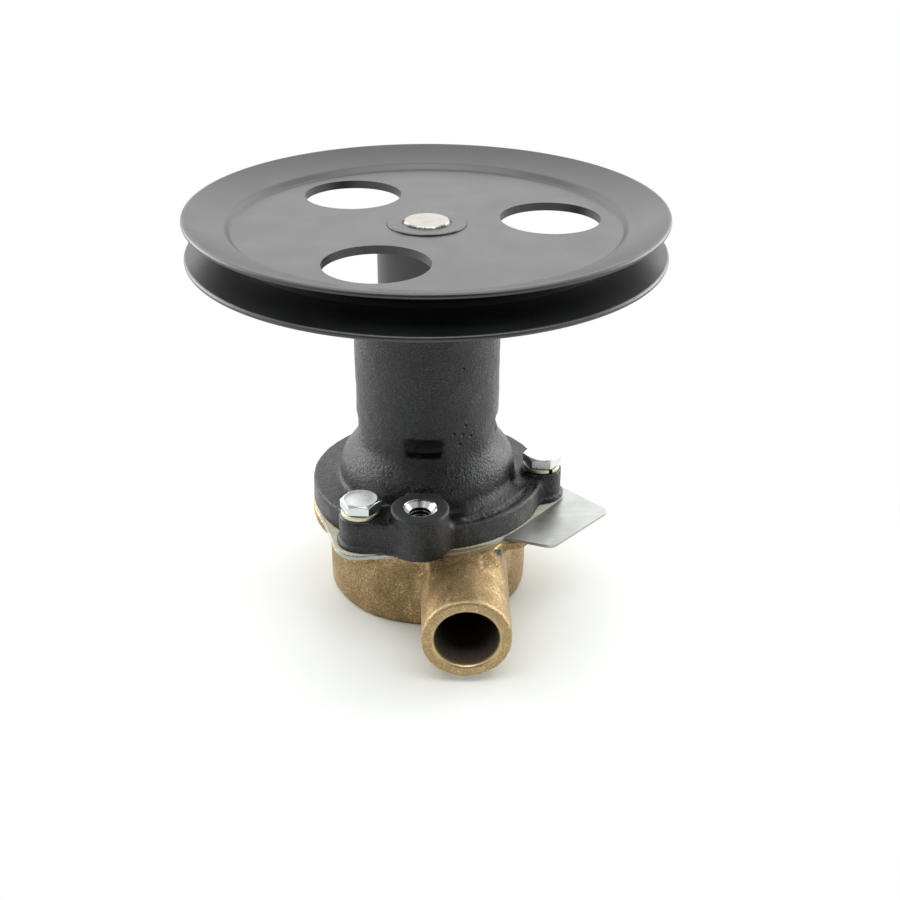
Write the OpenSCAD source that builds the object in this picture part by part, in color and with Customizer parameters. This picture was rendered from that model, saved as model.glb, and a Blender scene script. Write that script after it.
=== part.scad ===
/* [Pulley] */
// Outside diameter of the belt pulley over its rolled lips
pulley_d = 170; // [150:1:190]
// Thickness of each pressed steel disc
sheet_t = 1.5; // [1:0.1:2]
// Radius where the flat web turns up into the belt groove
web_r = 68.6; // [64:0.1:70]
// Rise of the short step between web and flange
joggle_h = 2; // [1:0.1:3]
// Slope of each groove flange from the plane of the web
groove_slope = 17; // [15:0.5:20]
// Radius of the bead rolled on each lip
lip_r = 1; // [0.8:0.1:1.3]
// Diameter of each lightening hole
web_hole_d = 36; // [30:0.5:40]
// Radius of the circle that the lightening holes lie on
web_hole_circle_r = 44.4; // [42:0.1:46]
// Turn of the first lightening hole from the X axis
web_hole_turn = 8.2; // [0:0.1:119]
// Diameter of the pulley hub
hub_d = 35.4; // [32:0.1:38]
// Length of the hub below the discs
hub_h = 27.7; // [26:0.1:30]
// Diameter of the hub spigot that fills the discs' centre hole
spigot_d = 28.1; // [26:0.1:30]
// Height that the spigot stands above the upper disc
spigot_lift = 0.6; // [0.3:0.1:1]
// Diameter of the hub nose that seats on the upper bearing
nose_d = 23; // [22:0.1:24]
// Running gap between the hub and the top of the tower
nose_gap = 1.5; // [1:0.1:2]
// Leg of the weld fillet under the discs
weld_leg = 2.4; // [1.5:0.1:3]

/* [Shaft] */
// Diameter of the shaft through bearings and hub
shaft_d = 17; // [16.8:0.1:17.2]
// Diameter of the lower shaft, inside water seal and impeller
shaft_low_d = 16; // [15.6:0.1:16.2]
// Height that the shaft end stands above the hub spigot
shaft_lift = 0.7; // [0.4:0.1:1]
// Chamfer on both ends of the shaft
shaft_chamfer = 0.8; // [0.4:0.1:1]
// Width and height of the impeller key
key_w = 4; // [3:0.1:5]
// Length of the impeller key
key_l = 18; // [14:0.5:20]

/* [Bearings] */
// Outside diameter of both ball bearings
bearing_d = 40; // [39:0.1:41]
// Width of each bearing
bearing_h = 12; // [11.6:0.1:12.4]
// Diameter of the balls
ball_d = 6.75; // [6.6:0.05:6.8]
// Number of balls in each bearing
ball_count = 8; // [6:1:8]
// Length of the spacer between the inner races
spacer_h = 4.8; // [4:0.1:6]
// Outside diameter of the spacer
spacer_d = 22; // [21:0.1:23]
// Thickness of the retaining ring above the upper bearing
ring_t = 1.75; // [1.5:0.05:2]
// Thickness of the two small shaft rings
clip_t = 1; // [0.8:0.05:1.2]

/* [Bearing housing] */
// Diameter of the tower at its top
tower_d = 53.8; // [52:0.1:56]
// Diameter of the tower where it meets the bell
tower_low_d = 53; // [51:0.1:54]
// Wall of the tower above the retaining ring
tower_lip = 1.75; // [1.5:0.05:3]
// Radius of the bell above the flange
bell_r = 33.4; // [32:0.1:34.5]
// Straight height of the bell wall
bell_wall_h = 3.9; // [3:0.1:5]
// Radial depth of the bell's rounded shoulder
bell_round_r = 10; // [8:0.1:11]
// Height of the bell's rounded shoulder
bell_round_h = 15.2; // [13:0.1:17]
// Radius of the housing flange
flange_r = 44.1; // [43:0.1:45]
// Thickness of the housing flange
flange_t = 9.1; // [8:0.1:10]
// Rounding of the flange's upper edge
flange_edge = 1.2; // [0.6:0.1:1.6]
// Radius of each bolt ear
ear_r = 7.5; // [7.4:0.1:8]
// Height of the machined pad on each ear
ear_pad_h = 2.6; // [1:0.1:3]
// Fillet between an ear and the flange
ear_fillet = 5; // [3:0.1:7]
// Radius of each mounting boss
boss_r = 10.5; // [9.5:0.1:11]
// Half width of the web between a boss and the ear beside it, at the boss
boss_web_r = 7; // [6:0.1:8]
// Height of each mounting boss above the flange face
boss_h = 16.6; // [14:0.1:18]
// Distance of the mounting bosses from the shaft axis
boss_circle_r = 41.6; // [40:0.1:43]
// Core diameter of the thread in a mounting boss
boss_hole_d = 6.8; // [6.6:0.1:7.2]
// Diameter of the countersink on that thread
boss_sink_d = 12; // [10:0.1:13]
// Width of a weep window
window_w = 13.6; // [11:0.1:15]
// Height of a weep window
window_h = 7.3; // [6:0.1:8]
// Corner radius of a weep window
window_corner = 1.6; // [1:0.1:2.5]
// Radius of the chamber behind the weep windows
weep_r = 18.5; // [17:0.1:20]
// Height of that chamber
weep_h = 9; // [8.4:0.1:10]
// Radius of the water seal's cavity
cavity_r = 17; // [16:0.1:19]

/* [Seals] */
// Height of the water seal's cavity below its seat
cavity_h = 19.4; // [18:0.1:21]
// Radius of the bore that holds the ceramic seat and its boot
seat_r = 13.5; // [13:0.1:14.5]
// Depth of that bore
seat_h = 5.5; // [5:0.1:6]
// Wall of the rubber boot round the ceramic seat
boot_t = 1.5; // [1:0.1:2]
// Thickness of the cast web above the seat
seat_web_t = 2.5; // [2:0.1:3.5]
// Height of the carbon face ring
face_h = 4.5; // [3.5:0.1:5.5]
// Height of the rubber seal head
head_h = 5.5; // [4.5:0.1:6.5]
// Thickness of the washer under the seal spring
seal_washer_t = 1.2; // [1:0.1:1.6]
// Wire diameter of the seal spring
seal_wire_d = 1.4; // [1:0.1:1.6]
// Outside radius of the rubber slinger
slinger_r = 14; // [12:0.1:15]
// Thickness of the slinger's rim
slinger_t = 2.4; // [2:0.1:3]
// Radius of the oil seal's pocket
oil_seal_r = 15; // [14:0.1:16]
// Height of the oil seal
oil_seal_h = 4; // [3.6:0.1:4.4]
// Thickness of the cast lip under the oil seal
oil_lip_t = 1.3; // [1:0.1:2]

/* [Pump body] */
// Outside radius of the bronze body
body_r = 38.3; // [37:0.1:39.5]
// Height of the bronze body
body_h = 34.8; // [34:0.1:36]
// Thickness of the closed bottom
floor_t = 5; // [4:0.1:6]
// Rounding of the bottom edge
body_edge = 1.6; // [1:0.1:3]
// Radius of the impeller chamber
chamber_r = 32; // [31:0.1:33]
// Height of the cam that narrows the chamber between the ports
cam_lift = 5.4; // [4:0.1:6]
// Distance that the body's flange stands out past the housing's
flange_lap = 0.4; // [0.2:0.1:1]
// Thickness of the body's flange
body_flange_t = 3.8; // [3.4:0.1:5]
// Fillet under the body's flange
body_fillet = 2.6; // [1.5:0.1:3.5]
// Outside diameter of each hose port
port_d = 32; // [31:0.1:33]
// Bore of each hose port
port_bore_d = 22.6; // [21:0.1:24]
// Distance from the shaft axis to the mouth of each port
port_reach = 73; // [68:0.5:78]
// Sideways place of the port axis
port_x = 13.2; // [12:0.1:14]
// Depth of the ports' upper side below the body's joint face
port_drop = 0.3; // [0.3:0.1:1]
// Length of the turned hose seat on each port
hose_seat_l = 22; // [18:0.5:24]
// Distance that a port's cast root stands out past its hose seat
port_root_lift = 0.25; // [0.2:0.05:0.3]
// Rounding of a port's outer edge and chamfer of its mouth
port_edge = 0.7; // [0.4:0.1:1]

/* [Plate and gaskets] */
// Thickness of the stainless wear plate
plate_t = 1.2; // [1:0.1:1.6]
// Thickness of each paper gasket
gasket_t = 0.5; // [0.4:0.1:0.8]
// Distance that the plate's round part stays inside the housing's flange
plate_inset = 0.1; // [0:0.1:0.5]
// Radius of the plate's corner at each bolt
plate_ear_r = 9.6; // [8.5:0.1:10]
// Distance that those corners lie outside the bolts
plate_ear_shift = 1.2; // [0:0.1:2]
// Corner radius of the plate's tab
tab_corner = 3.6; // [2:0.1:5]
// Farthest reach of the tab to the right
tab_right = 64.4; // [60:0.1:68]
// Farthest reach of the tab to the front
tab_front = 36.6; // [34:0.1:39]

/* [Bolts] */
// Radius of the circle that the three bolts lie on
bolt_circle_r = 44; // [43.5:0.1:44.5]
// Turn of the first bolt from the X axis
bolt_turn = -3.5; // [-6:0.1:-2]
// Thread diameter of the bolts
bolt_d = 8; // [7.8:0.1:8.2]
// Width across the flats of a bolt head
bolt_flats = 13; // [12.6:0.1:13.4]
// Height of a bolt head
bolt_head_h = 4.1; // [4:0.1:5.8]
// Length of a bolt under its head
bolt_l = 20; // [19:0.5:22]
// Outside diameter of a spring washer
washer_d = 13.4; // [13:0.1:14.9]
// Thickness of a spring washer
washer_t = 2; // [1.6:0.1:2.4]

/* [Impeller] */
// Radius of the impeller's rubber hub
impeller_hub_r = 15; // [14:0.1:16]
// Outside radius of the bronze bush in the impeller
bush_r = 11.5; // [11:0.1:12]
// Number of impeller blades
blade_count = 8; // [8:2:8]
// Thickness of a blade at its waist
blade_t = 3; // [2.6:0.1:3.4]
// Radius of the thick tip of a blade
tip_r = 2.3; // [2:0.1:2.6]

/* [Clearances] */
// Gap of sliding and seated round parts
slip = 0.05; // [0.03:0.01:0.08]
// Gap of parts that turn past each other
run = 0.3; // [0.25:0.05:0.4]

/* [Hidden] */
$fn = 96;
// Overrun of every cut past the surface that it opens
over = 1;
// Depth by which the curves of a blended outline cut into each other
crease = 0.03;
bolt_angles = [bolt_turn, bolt_turn + 120, bolt_turn + 240];
boss_angles = [-94, 86];
window_angles = [-93, -3, 87, 177];

// Lengths of hidden details
clip_clear = 0.6;
clip_reach = 2.2;
race_wall = 2.75;
shield_t = 0.8;
shield_inset = 0.4;
cage_wall = 1.9;
cage_back = 0.9;
cage_depth_share = 1.5;
shaft_end_gap = 2.5;
key_inset = 4;
shaft_hole_clear = 2;
seal_head_clear = 0.6;
head_r = 12.5;
face_r = 11.5;
face_clear = 1;
seal_coil_r = 11;
seal_coils = 4;
coil_stations = 16;
wire_sides = 6;

// Heights, from the floor up
plate_z = body_h + gasket_t;
flange_z = plate_z + plate_t + gasket_t;
flange_top = flange_z + flange_t;
seat_z = flange_z + cavity_h;
weep_z = seat_z + seat_h + seat_web_t;
oil_seal_z = weep_z + weep_h + oil_lip_t;
clip_room = clip_t + clip_clear;
low_bearing_z = oil_seal_z + oil_seal_h + clip_room;
up_bearing_z = low_bearing_z + bearing_h + spacer_h;
ring_z = up_bearing_z + bearing_h;
tower_top = ring_z + ring_t + tower_lip;
hub_z = tower_top + nose_gap;
split_z = hub_z + hub_h + sheet_t;
spigot_top = split_z + sheet_t + spigot_lift;
shaft_top = spigot_top + shaft_lift;
window_z = weep_z + weep_h / 2;

shaft_r = shaft_d / 2;
shaft_low_r = shaft_low_d / 2;
bolt_r = bolt_d / 2;
ball_r = ball_d / 2;
bearing_r = bearing_d / 2;
pitch_r = (shaft_r + bearing_r) / 2;
race_groove_r = ball_r + slip;
impeller_z = floor_t + run;
impeller_h = plate_z - run - impeller_z;
shaft_foot = impeller_z + shaft_end_gap;
key_z = shaft_foot + key_inset;
plate_hole_r = shaft_low_r + shaft_hole_clear;
shaft_step_z = seat_z + seat_h;
seal_clip_z = flange_z + seal_head_clear;
seal_washer_z = seal_clip_z + clip_t;
spring_z = seal_washer_z + seal_washer_t;
head_z = seat_z - face_h - head_h;

// Points of an arc, from a start angle through a sweep
function arc(centre, r, start, sweep, steps = 14) =
    [for (i = [0:steps]) centre + r * [cos(start + sweep * i / steps), sin(start + sweep * i / steps)]];

// Outline of two discs joined by their straight tangents
module link(from, from_r, to, to_r) {
    span = to - from;
    base = atan2(span[1], span[0]);
    turn = acos((from_r - to_r) / norm(span));
    polygon(concat(arc(from, from_r, base + turn, 360 - 2 * turn), arc(to, to_r, base - turn, 2 * turn)));
}

// Polygon whose corners, listed anticlockwise, are rounded outwards by a radius
function heading(from, to) = atan2(to[1] - from[1], to[0] - from[0]);
function corner_arc(before, at, after, corner) =
    arc(at, corner, heading(before, at) - 90, (heading(at, after) - heading(before, at) + 360) % 360, 5);

module rounded(points, corner) {
    count = len(points);
    polygon([for (i = [0:count - 1])
        each corner_arc(points[(i + count - 1) % count], points[i], points[(i + 1) % count], corner)]);
}

// Disc with one round ear that runs into it through two concave fillets
module eared(disc_r, round_r, circle_r, fillet) {
    near = disc_r + fillet - crease;
    far = round_r + fillet - crease;
    turn = acos((near * near + circle_r * circle_r - far * far) / (2 * near * circle_r));
    low = near * [cos(turn), -sin(turn)];
    high = near * [cos(turn), sin(turn)];
    translate([circle_r, 0]) circle(round_r);
    difference() {
        polygon([[0, 0], low, [circle_r, 0], high]);
        translate(low) circle(fillet);
        translate(high) circle(fillet);
    }
}

// Place on a circle round the shaft axis
function polar(r, turn) = r * [cos(turn), sin(turn)];

// Ring with square edges
module ring(outer_r, inner_r, h) {
    difference() {
        cylinder(r = outer_r, h = h);
        translate([0, 0, -over]) cylinder(r = inner_r, h = h + 2 * over);
    }
}

// Three copies at the bolts
module at_bolts(z) {
    for (turn = bolt_angles) rotate(turn) translate([bolt_circle_r, 0, z]) children();
}

// Pump body: round bronze casting with closed bottom, two hose ports and a cam between them
body_flange_r = flange_r + flange_lap;
port_r = port_d / 2;
port_bore_r = port_bore_d / 2;
port_z = body_h - port_r - port_drop;
cam_land = 0.7;
cam_x = port_x + port_bore_r + cam_land;
cam_edge = [cam_x, sqrt(chamber_r * chamber_r - cam_x * cam_x)];
cam_near = chamber_r - cam_lift;
cam_chord = cam_near - cam_edge[0];
cam_r = (cam_chord * cam_chord + cam_edge[1] * cam_edge[1]) / (2 * cam_chord);
lug_r = 7;
lug_circle_r = 41.44;
lug_turn = -41.57;
saddle_half = 12.5;
saddle_l = 10;
fillet_steps = 6;

module body_flange_outline() {
    circle(body_flange_r);
    for (turn = bolt_angles) rotate(turn) eared(body_flange_r, ear_r, bolt_circle_r, ear_fillet);
    rotate(lug_turn) link([0, 0], body_r - over, [lug_circle_r, 0], lug_r);
}

module body_shell() {
    wall_top = body_h - body_flange_t;
    rotate_extrude() polygon(concat(
        [[0, 0]],
        [for (i = [0:fillet_steps]) let (a = 90 * i / fillet_steps)
            [body_r - body_edge * (1 - sin(a)), body_edge * (1 - cos(a))]],
        [for (i = [0:fillet_steps]) let (a = 90 * i / fillet_steps)
            [body_r + body_fillet * (1 - cos(a)), wall_top - body_fillet * (1 - sin(a))]],
        [[body_r + body_fillet, body_h], [0, body_h]]));
    translate([0, 0, wall_top]) linear_extrude(body_flange_t) body_flange_outline();
}

module port_tube() {
    rotate([90, 0, 0]) {
        cylinder(r = port_r + port_root_lift, h = port_reach - hose_seat_l);
        cylinder(r = port_r, h = port_reach - port_edge);
        translate([0, 0, port_reach - port_edge]) cylinder(r1 = port_r, r2 = port_r - port_edge, h = port_edge);
    }
}

module port_saddle() {
    top = body_h - port_z - gasket_t;
    root = body_r - port_edge;
    rotate([90, 0, -90]) translate([0, 0, -saddle_half]) linear_extrude(2 * saddle_half)
        polygon([[-root / 2, 0], [-root - saddle_l, 0], [-root - saddle_l, top - saddle_l / 2],
            [-root - saddle_l / 2, top], [-root / 2, top]]);
}

module port_bore() {
    rotate([90, 0, 0]) {
        cylinder(r = port_bore_r, h = port_reach + over);
        translate([0, 0, port_reach - port_edge])
            cylinder(r1 = port_bore_r, r2 = port_bore_r + port_edge + over, h = port_edge + over);
    }
}

module chamber_outline() {
    intersection() {
        circle(chamber_r);
        translate([cam_near - cam_r, 0]) circle(cam_r);
    }
}

module pump_body() {
    color("darkgoldenrod") difference() {
        union() {
            body_shell();
            for (side = [0, 1]) mirror([0, side, 0]) translate([port_x, 0, port_z]) {
                port_tube();
                mirror([1, 0, 0]) port_saddle();
            }
        }
        translate([0, 0, floor_t]) linear_extrude(body_h) chamber_outline();
        for (side = [0, 1]) mirror([0, side, 0]) translate([port_x, 0, port_z]) port_bore();
        at_bolts(-over) cylinder(r = bolt_r, h = body_h + 2 * over);
    }
}

// Flat pieces clamped between body and housing
module flange_outline() {
    circle(flange_r);
    for (turn = bolt_angles) rotate(turn) eared(flange_r, ear_r, bolt_circle_r, ear_fillet);
}

module gasket(inner_r) {
    linear_extrude(gasket_t) difference() {
        flange_outline();
        circle(inner_r);
        for (turn = bolt_angles) rotate(turn) translate([bolt_circle_r, 0]) circle(bolt_r);
    }
}

module body_gasket() {
    color("beige") translate([0, 0, body_h]) gasket(chamber_r);
}

module housing_gasket() {
    color("beige") translate([0, 0, plate_z + plate_t]) gasket(cavity_r);
}

plate_r = flange_r - plate_inset;
tab_root_x = 27.6;
tab_root_y = 30.2;
tab_front_x = 44.2;
tab_right_y = 15.3;
tab_back_x = 49.2;
tab_back_y = 1.6;
tab_points = [[tab_root_x, -tab_root_y], [tab_front_x, -tab_front], [tab_right, -tab_right_y],
    [tab_back_x, tab_back_y]];

module wear_plate() {
    color("silver") translate([0, 0, plate_z]) linear_extrude(plate_t) difference() {
        union() {
            circle(plate_r);
            for (turn = bolt_angles) rotate(turn)
                link([0, 0], plate_r - over, [bolt_circle_r + plate_ear_shift, 0], plate_ear_r);
            rounded(tab_points, tab_corner);
        }
        circle(plate_hole_r);
        for (turn = bolt_angles) rotate(turn) translate([bolt_circle_r, 0]) circle(bolt_r);
    }
}

// Bearing housing: cast iron tower, bell and flange in one piece
bell_steps = 12;
web_hole_r = shaft_r + face_clear;
oil_lip_r = 11.5;
ring_groove = 1;

module bell() {
    bell_base = flange_top - over;
    round_z = flange_top + bell_wall_h;
    rotate_extrude() polygon(concat(
        [[0, bell_base], [bell_r, bell_base]],
        [for (i = [0:bell_steps]) let (a = 90 * i / bell_steps)
            [bell_r - bell_round_r * (1 - cos(a)), round_z + bell_round_h * sin(a)]],
        [[0, round_z + bell_round_h]]));
}

module tower() {
    base = flange_top + bell_wall_h;
    edge = tower_lip / 2;
    translate([0, 0, base]) cylinder(d1 = tower_low_d, d2 = tower_d, h = tower_top - edge - base);
    translate([0, 0, tower_top - edge]) cylinder(d1 = tower_d, d2 = tower_d - 2 * edge, h = edge);
}

module housing_flange() {
    translate([0, 0, flange_z]) linear_extrude(flange_t - flange_edge) difference() {
        flange_outline();
        for (turn = bolt_angles) rotate(turn) translate([bolt_circle_r, 0]) circle(bolt_r + slip);
    }
    difference() {
        translate([0, 0, flange_top - flange_edge])
            cylinder(r1 = flange_r, r2 = flange_r - flange_edge, h = flange_edge);
        at_bolts(flange_z) cylinder(r = ear_r - crease, h = flange_t + over);
    }
    at_bolts(flange_top - flange_edge) ring(ear_r, bolt_r + slip, flange_edge + ear_pad_h);
    for (turn = boss_angles) rotate(turn) translate([boss_circle_r, 0, flange_z]) cylinder(r = boss_r, h = boss_h);
    for (pair = [[bolt_angles[2], boss_angles[0]], [bolt_angles[1], boss_angles[1]]])
        boss_web(polar(bolt_circle_r, pair[0]), polar(boss_circle_r, pair[1]));
}

// Web that fills the notch between an ear and the boss beside it
module boss_web(ear, boss) {
    translate([0, 0, flange_z]) linear_extrude(flange_t) difference() {
        link(ear, ear_r - crease, boss, boss_web_r);
        translate(ear) circle(ear_r - 2 * crease);
    }
}

module boss_thread() {
    sink = (boss_sink_d - boss_hole_d) / 2;
    translate([boss_circle_r, 0, flange_z]) {
        translate([0, 0, -over]) cylinder(d = boss_hole_d, h = boss_h + 2 * over);
        translate([0, 0, boss_h - sink]) cylinder(d1 = boss_hole_d, d2 = boss_sink_d, h = sink);
        translate([0, 0, boss_h]) cylinder(d = boss_sink_d, h = over);
    }
}

module weep_window() {
    half = [window_w / 2 - window_corner, window_h / 2 - window_corner];
    translate([0, 0, window_z]) rotate([90, 0, 90]) linear_extrude(tower_d)
        rounded([[-half[0], -half[1]], [half[0], -half[1]], [half[0], half[1]], [-half[0], half[1]]],
            window_corner);
}

module bearing_housing() {
    color("dimgray") difference() {
        union() {
            tower();
            bell();
            housing_flange();
        }
        translate([0, 0, flange_z - over]) cylinder(r = cavity_r, h = cavity_h + over);
        translate([0, 0, seat_z - over]) cylinder(r = seat_r, h = seat_h + over);
        translate([0, 0, seat_z]) cylinder(r = web_hole_r, h = weep_z - seat_z + over);
        translate([0, 0, weep_z]) cylinder(r = weep_r, h = weep_h);
        translate([0, 0, weep_z]) cylinder(r = oil_lip_r, h = oil_seal_z - weep_z + over);
        translate([0, 0, oil_seal_z]) cylinder(r = oil_seal_r, h = low_bearing_z - oil_seal_z + over);
        translate([0, 0, low_bearing_z]) cylinder(r = bearing_r, h = tower_top - low_bearing_z + over);
        translate([0, 0, ring_z]) cylinder(r = bearing_r + ring_groove, h = ring_t);
        for (turn = window_angles) rotate(turn) weep_window();
        for (turn = boss_angles) rotate(turn) boss_thread();
    }
}

// Bolts and spring washers
washer_z = flange_top + ear_pad_h;
head_turn = -4;
crown_share = 0.96;
crown_slope = 0.58;
thread_chamfer = 0.8;
washer_split = 1;
washer_split_tilt = 25;

module flange_bolts() {
    corner_r = bolt_flats / 2 / cos(30);
    crown_r = crown_share * bolt_flats / 2;
    color("gainsboro") at_bolts(washer_z + washer_t) {
        intersection() {
            rotate(head_turn) cylinder(r = corner_r, h = bolt_head_h, $fn = 6);
            cylinder(r1 = crown_r + bolt_head_h / crown_slope, r2 = crown_r, h = bolt_head_h);
        }
        translate([0, 0, thread_chamfer - bolt_l]) cylinder(r = bolt_r, h = bolt_l - thread_chamfer);
        translate([0, 0, -bolt_l]) cylinder(r1 = bolt_r - thread_chamfer, r2 = bolt_r, h = thread_chamfer);
    }
}

module spring_washers() {
    color("lemonchiffon") at_bolts(washer_z) difference() {
        ring(washer_d / 2, bolt_r + slip, washer_t);
        rotate(-60) translate([0, -washer_split / 2, washer_t / 2]) rotate([washer_split_tilt, 0, 0])
            translate([0, 0, -washer_t]) cube([washer_d, washer_split, 2 * washer_t]);
    }
}

// Impeller: rubber hub and blades on a bronze bush, keyed to the shaft
blade_root_r = impeller_hub_r - blade_t / 2;
blade_tip_reach = chamber_r - run - tip_r;
bent_tip_reach = cam_near - 2 * run - tip_r;
bent_lag = 16;
blade_foot_r = 0.7 * blade_t;

module straight_blade() {
    link([blade_root_r, 0], blade_foot_r, [(blade_root_r + blade_tip_reach) / 2, 0], blade_t / 2);
    link([(blade_root_r + blade_tip_reach) / 2, 0], blade_t / 2, [blade_tip_reach, 0], tip_r);
}

module bent_blade() {
    root = [blade_root_r, 0];
    knee = polar((blade_root_r + bent_tip_reach) / 2, -bent_lag / 3);
    tip = polar(bent_tip_reach, -bent_lag);
    link(root, blade_foot_r, knee, blade_t / 2);
    link(knee, blade_t / 2, tip, tip_r);
}

module impeller() {
    step = 360 / blade_count;
    color("black") translate([0, 0, impeller_z]) linear_extrude(impeller_h) difference() {
        union() {
            circle(impeller_hub_r);
            for (i = [0:blade_count - 1]) rotate(step * (i + 0.5))
                if (i == 0 || i == blade_count - 1) bent_blade();
                else straight_blade();
        }
        circle(bush_r);
    }
}

module impeller_bush() {
    color("goldenrod") translate([0, 0, impeller_z]) difference() {
        ring(bush_r, shaft_low_r + slip, impeller_h);
        translate([0, -key_w / 2, -over]) cube([shaft_low_r + key_w / 2 + slip, key_w, impeller_h + 2 * over]);
    }
}

module impeller_key() {
    color("darkgray") translate([shaft_low_r - key_w / 2, -key_w / 2, key_z]) cube([key_w, key_w, key_l]);
}

// Pump shaft
module clip_groove(at_r, at_z) {
    translate([0, 0, at_z]) ring(at_r + over, at_r - clip_t, clip_t);
}

module pump_shaft() {
    color("lightgray") difference() {
        union() {
            translate([0, 0, shaft_foot])
                cylinder(r1 = shaft_low_r - shaft_chamfer, r2 = shaft_low_r, h = shaft_chamfer);
            translate([0, 0, shaft_foot + shaft_chamfer])
                cylinder(r = shaft_low_r, h = shaft_step_z - shaft_foot - shaft_chamfer);
            translate([0, 0, shaft_step_z]) cylinder(r = shaft_r, h = shaft_top - shaft_chamfer - shaft_step_z);
            translate([0, 0, shaft_top - shaft_chamfer])
                cylinder(r1 = shaft_r, r2 = shaft_r - shaft_chamfer, h = shaft_chamfer);
        }
        translate([shaft_low_r - key_w / 2, -key_w / 2, key_z]) cube([key_w, key_w, key_l]);
        clip_groove(shaft_r, low_bearing_z - clip_t);
        clip_groove(shaft_low_r, seal_clip_z);
    }
}

// Retaining rings
module shaft_clip(at_r, at_z) {
    translate([0, 0, at_z]) difference() {
        ring(at_r + clip_reach * clip_t, at_r - clip_t, clip_t);
        translate([0, -clip_t * 2, -over]) cube([at_r + 3 * clip_t, 4 * clip_t, clip_t + 2 * over]);
    }
}

module shaft_circlip() {
    color("dimgray") shaft_clip(shaft_r, low_bearing_z - clip_t);
}

module seal_circlip() {
    color("silver") shaft_clip(shaft_low_r, seal_clip_z);
}

module housing_circlip() {
    color("dimgray") translate([0, 0, ring_z]) difference() {
        ring(bearing_r + ring_groove, bearing_r - 2 * ring_t, ring_t);
        translate([-ring_t * 2, 0, -over]) cube([4 * ring_t, bearing_d, ring_t + 2 * over]);
    }
}

// Water seal: ceramic seat in its boot, and the turning head with its spring
module water_seal_boot() {
    color("black") translate([0, 0, seat_z]) difference() {
        cylinder(r = seat_r, h = seat_h);
        translate([0, 0, -over]) cylinder(r = seat_r - boot_t, h = seat_h - boot_t + over);
        cylinder(r = web_hole_r, h = seat_h + over);
    }
}

module water_seal_seat() {
    color("white") translate([0, 0, seat_z]) ring(seat_r - boot_t, web_hole_r, seat_h - boot_t);
}

module water_seal_face() {
    color("darkslategray") translate([0, 0, seat_z - face_h]) ring(face_r, shaft_low_r + face_clear, face_h);
}

module water_seal_head() {
    color("black") translate([0, 0, head_z]) difference() {
        cylinder(r = head_r, h = head_h);
        translate([0, 0, -over]) cylinder(r = shaft_low_r + slip, h = head_h + 2 * over);
        translate([0, 0, -over]) ring(seal_coil_r + seal_wire_d / 2, seal_coil_r - seal_wire_d, head_h / 2 + over);
    }
}

function coil_point(share, height) = [
    seal_coil_r * cos(360 * seal_coils * share),
    seal_coil_r * sin(360 * seal_coils * share),
    height * share];

module water_seal_spring() {
    rings = coil_stations * seal_coils;
    sides = wire_sides;
    wire_r = seal_wire_d / 2;
    height = head_z + head_h / 2 - spring_z - seal_wire_d;
    points = [for (i = [0:rings], s = [0:sides - 1]) let (c = coil_point(i / rings, height),
        turn = 360 * seal_coils * i / rings, a = 360 * s / sides)
        c + wire_r * [cos(a) * cos(turn), cos(a) * sin(turn), sin(a)]];
    walls = [for (i = [0:rings - 1], s = [0:sides - 1], half = [0, 1]) let (next = (s + 1) % sides,
        a = i * sides + s, b = i * sides + next, c = a + sides, d = b + sides)
        half == 0 ? [a, c, b] : [b, c, d]];
    ends = [[for (s = [0:sides - 1]) s], [for (s = [0:sides - 1]) rings * sides + sides - 1 - s]];
    color("silver") translate([0, 0, spring_z + wire_r]) polyhedron(points, concat(walls, ends));
}

module seal_washer() {
    color("silver") translate([0, 0, seal_washer_z]) ring(head_r, shaft_low_r + slip, seal_washer_t);
}

// Slinger that throws leaked water out through the weep windows
module water_slinger() {
    color("black") translate([0, 0, weep_z + weep_h / 4]) {
        ring(slinger_r, shaft_r, slinger_t);
        ring(shaft_r + slinger_t, shaft_r, 2 * slinger_t);
    }
}

// Oil seal: cased rubber lip with a garter spring
garter_r = 10.6;
garter_wire_r = 0.55;
garter_z = 2.5;
garter_facets = 24;
ball_facets = 48;

module oil_seal() {
    case_t = oil_seal_h / 4;
    color("saddlebrown") translate([0, 0, oil_seal_z]) rotate_extrude() difference() {
        polygon([[shaft_r + slip, 0], [oil_seal_r, 0], [oil_seal_r, oil_seal_h],
            [oil_seal_r - case_t, oil_seal_h], [oil_seal_r - case_t, case_t], [oil_lip_r + case_t, case_t],
            [garter_r + case_t, oil_seal_h], [shaft_r + slip, oil_seal_h]]);
        translate([garter_r, garter_z]) circle(garter_wire_r, $fn = garter_facets);
    }
}

module oil_seal_spring() {
    color("silver") translate([0, 0, oil_seal_z + garter_z]) rotate_extrude()
        translate([garter_r, 0]) circle(garter_wire_r, $fn = garter_facets);
}

// Deep-groove ball bearing, drawn from its lower face
module ball_track() {
    translate([0, 0, bearing_h / 2]) rotate_extrude() translate([pitch_r, 0]) circle(race_groove_r, $fn = ball_facets);
}

module outer_race() {
    difference() {
        ring(bearing_r, bearing_r - race_wall, bearing_h);
        ball_track();
    }
}

module inner_race() {
    difference() {
        ring(shaft_r + race_wall, shaft_r, bearing_h);
        ball_track();
    }
}

module balls(radius) {
    for (i = [0:ball_count - 1]) rotate(360 / ball_count * i)
        translate([pitch_r, 0, bearing_h / 2]) sphere(radius, $fn = ball_facets);
}

module cage() {
    pocket_r = ball_r + 2 * slip;
    difference() {
        translate([0, 0, bearing_h / 2 - pocket_r - cage_back])
            ring(pitch_r + cage_wall / 2, pitch_r - cage_wall / 2, cage_depth_share * pocket_r + cage_back);
        balls(pocket_r);
    }
}

module shields() {
    for (z = [shield_inset, bearing_h - shield_inset - shield_t])
        translate([0, 0, z]) ring(bearing_r - race_wall, shaft_r + race_wall + run, shield_t);
}

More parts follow.
